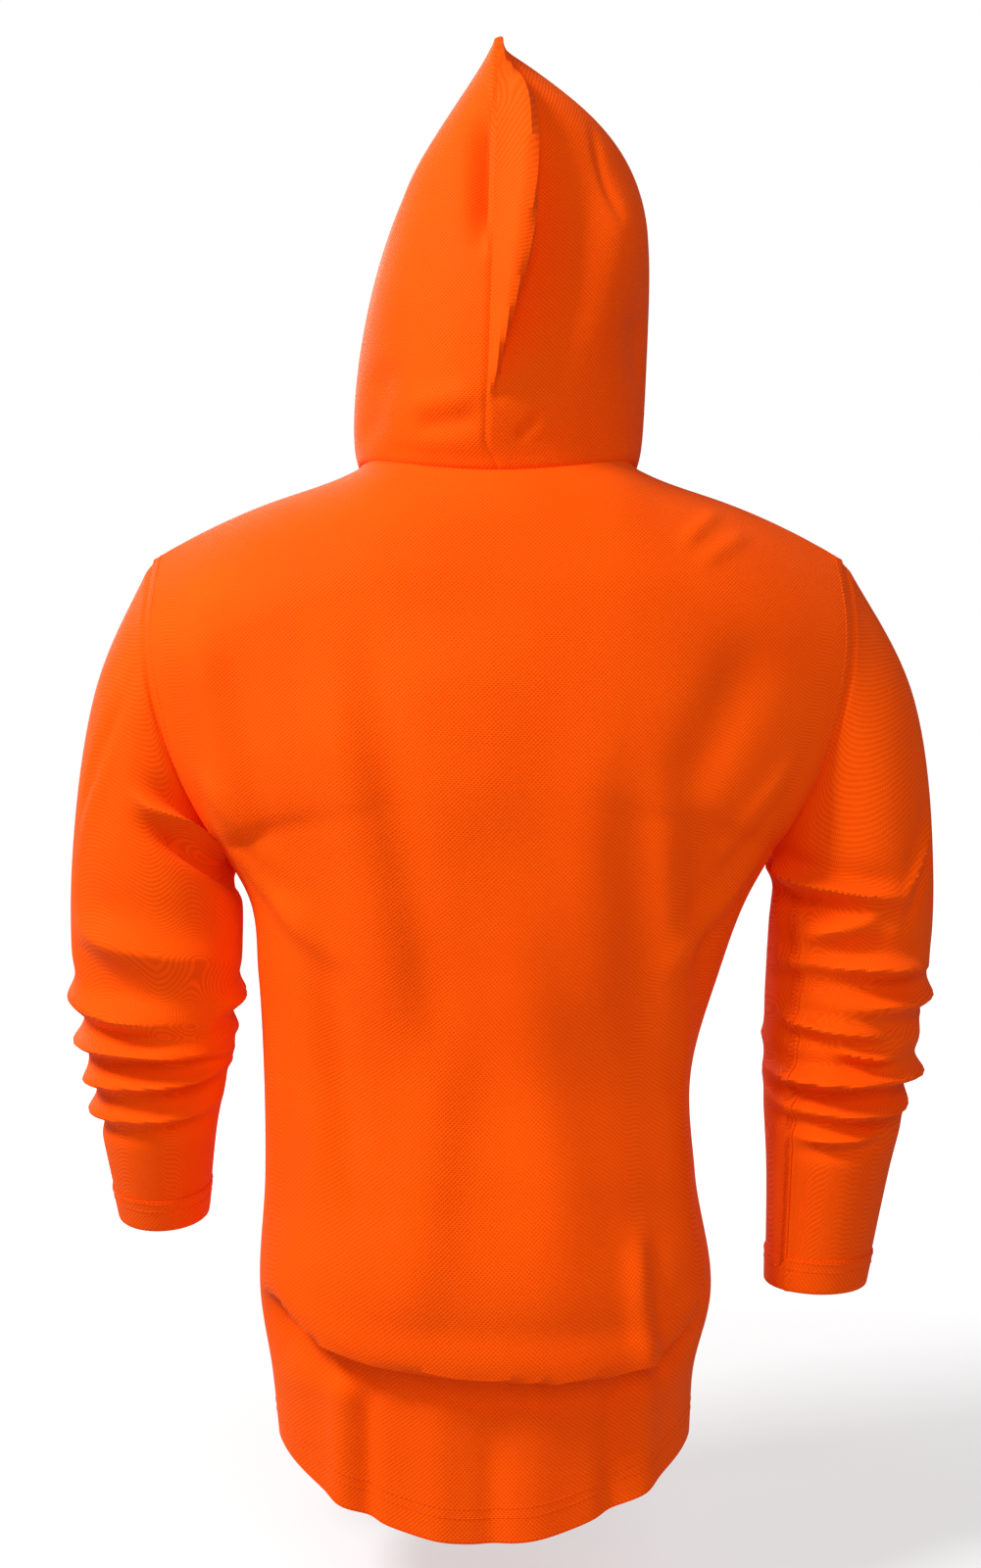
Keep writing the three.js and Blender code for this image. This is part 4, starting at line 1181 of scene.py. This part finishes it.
def sew_hood(necklines):
    """The hood on the neckline, with its face hems, its centre seam and the tape over the neck seam."""
    sheets = join_hood(necklines)
    for side, sheet in sheets.items():
        rows = sheet.places.shape[0]
        with_hood(shell(f"{side}_hood_cloth", sheet, MESH), f"{side}_hood_panel")
        face = columns_as_rows(sheet)
        edge = turned_in(f"{side}_face_fold", face, FACE_HEM, np.arange(3, rows - 3))
        with_hood(edge, f"{side}_face_hem")
        row = line_of_stitches(f"{side}_face_sewing", face, 0.9 * FACE_HEM, np.linspace(3, rows - 4, 300))
        with_hood(row, f"{side}_face_stitch")
    # The neck tape goes from shoulder to shoulder round the back.
    columns = np.linspace(0, np.interp(0.57, HOOD_COLUMNS, np.arange(len(HOOD_COLUMNS))), 60)
    parts = [tape_along(f"{side}_neck_tape", sheet, 0.001, columns) for side, sheet in sheets.items()]
    with_hood(join("neck_tape_cloth", parts), "neck_tape")
    rows = np.arange(12, sheets["left"].places.shape[0] - 12)
    seam = overlock("hood_seam_allowance", sheets["left"], rows, 0)
    with_hood(seam, "hood_seam_overlock")


# ---------- camera, light and floor ----------


def make_camera():
    data = bpy.data.cameras.new("photo_camera")
    data.sensor_fit = "VERTICAL"
    data.sensor_height = 36
    data.lens = 48.3
    camera = bpy.data.objects.new("photo_camera", data)
    camera.location = (0.0054, 1.54, -0.219)
    camera.rotation_euler = (math.radians(90), 0, math.radians(180))
    bpy.context.scene.collection.objects.link(camera)
    bpy.context.scene.camera = camera


def area_light(name, place, target, size, watts):
    data = bpy.data.lights.new(name, "AREA")
    data.size = size
    data.energy = watts
    light = bpy.data.objects.new(name, data)
    light.location = place
    light.rotation_euler = (Vector(target) - Vector(place)).to_track_quat("-Z", "Y").to_euler()
    bpy.context.scene.collection.objects.link(light)


AMBIENT, BACKDROP = 0.22, 1.0  # how bright the studio is to the cloth and to the camera
FLOOR_REACH, FLOOR_Z = 30.0, -0.80
FLOOR_GLOW = 0.02  # what the floor sends to the cloth


def brighter_to_camera(tree, base, extra):
    """A brightness of base, with extra added where the camera looks straight at it."""
    seen = tree.nodes.new("ShaderNodeLightPath").outputs["Is Camera Ray"]
    return math_node(tree, "MULTIPLY_ADD", seen, extra, base)


def make_world():
    world = bpy.data.worlds.new("studio")
    world.use_nodes = True
    tree = world.node_tree
    background = tree.nodes["Background"]
    background.inputs[0].default_value = (1.0, 1.0, 1.0, 1.0)
    tree.links.new(brighter_to_camera(tree, AMBIENT, BACKDROP - AMBIENT), background.inputs[1])
    bpy.context.scene.world = world
    bpy.context.scene.view_settings.view_transform = "Standard"


def pale_floor():
    """A pale material that is brighter away from the shirt, so that the floor fades into the backdrop."""
    material, tree, shader = principled(
        "pale_floor", Roughness=0.9, Specular_IOR_Level=0.1, Base_Color=(0.42, 0.42, 0.42, 1.0),
        Emission_Color=(1.0, 1.0, 1.0, 1.0))
    length = tree.nodes.new("ShaderNodeVectorMath")
    length.operation = "LENGTH"
    tree.links.new(tree.nodes.new("ShaderNodeTexCoord").outputs["Object"], length.inputs[0])
    glow = tree.nodes.new("ShaderNodeMapRange")
    tree.links.new(length.outputs["Value"], glow.inputs["Value"])
    for socket, value in (("From Min", 0.9), ("From Max", 2.4), ("To Min", 0.44), ("To Max", 0.95)):
        glow.inputs[socket].default_value = value
    level = brighter_to_camera(tree, FLOOR_GLOW, glow.outputs[0])
    tree.links.new(level, shader.inputs["Emission Strength"])
    return material


def make_floor():
    mesh = bpy.data.meshes.new("floor")
    turns = ((-1, -1), (1, -1), (1, 1), (-1, 1))
    mesh.from_pydata([(x * FLOOR_REACH, y * FLOOR_REACH, FLOOR_Z) for x, y in turns], [], [(0, 1, 2, 3)])
    mesh.materials.append(pale_floor())
    floor = bpy.data.objects.new("floor", mesh)
    bpy.context.scene.collection.objects.link(floor)


# ---------- the whole ----------

make_camera()
area_light("key_light", (1.75, 1.05, 1.60), (0, 0, 0.0), 0.7, 88)
area_light("front_fill", (1.4, -2.4, 0.9), (0, 0, -0.2), 1.8, 60)
area_light("camera_fill", (-0.5, 2.6, 0.9), (0, 0, 0.0), 1.4, 30)
make_world()
make_floor()

body = sew_body()
sew_hood(neckline(body))
for side in SIGN:
    sew_sleeve(side, armhole_line(body, side))
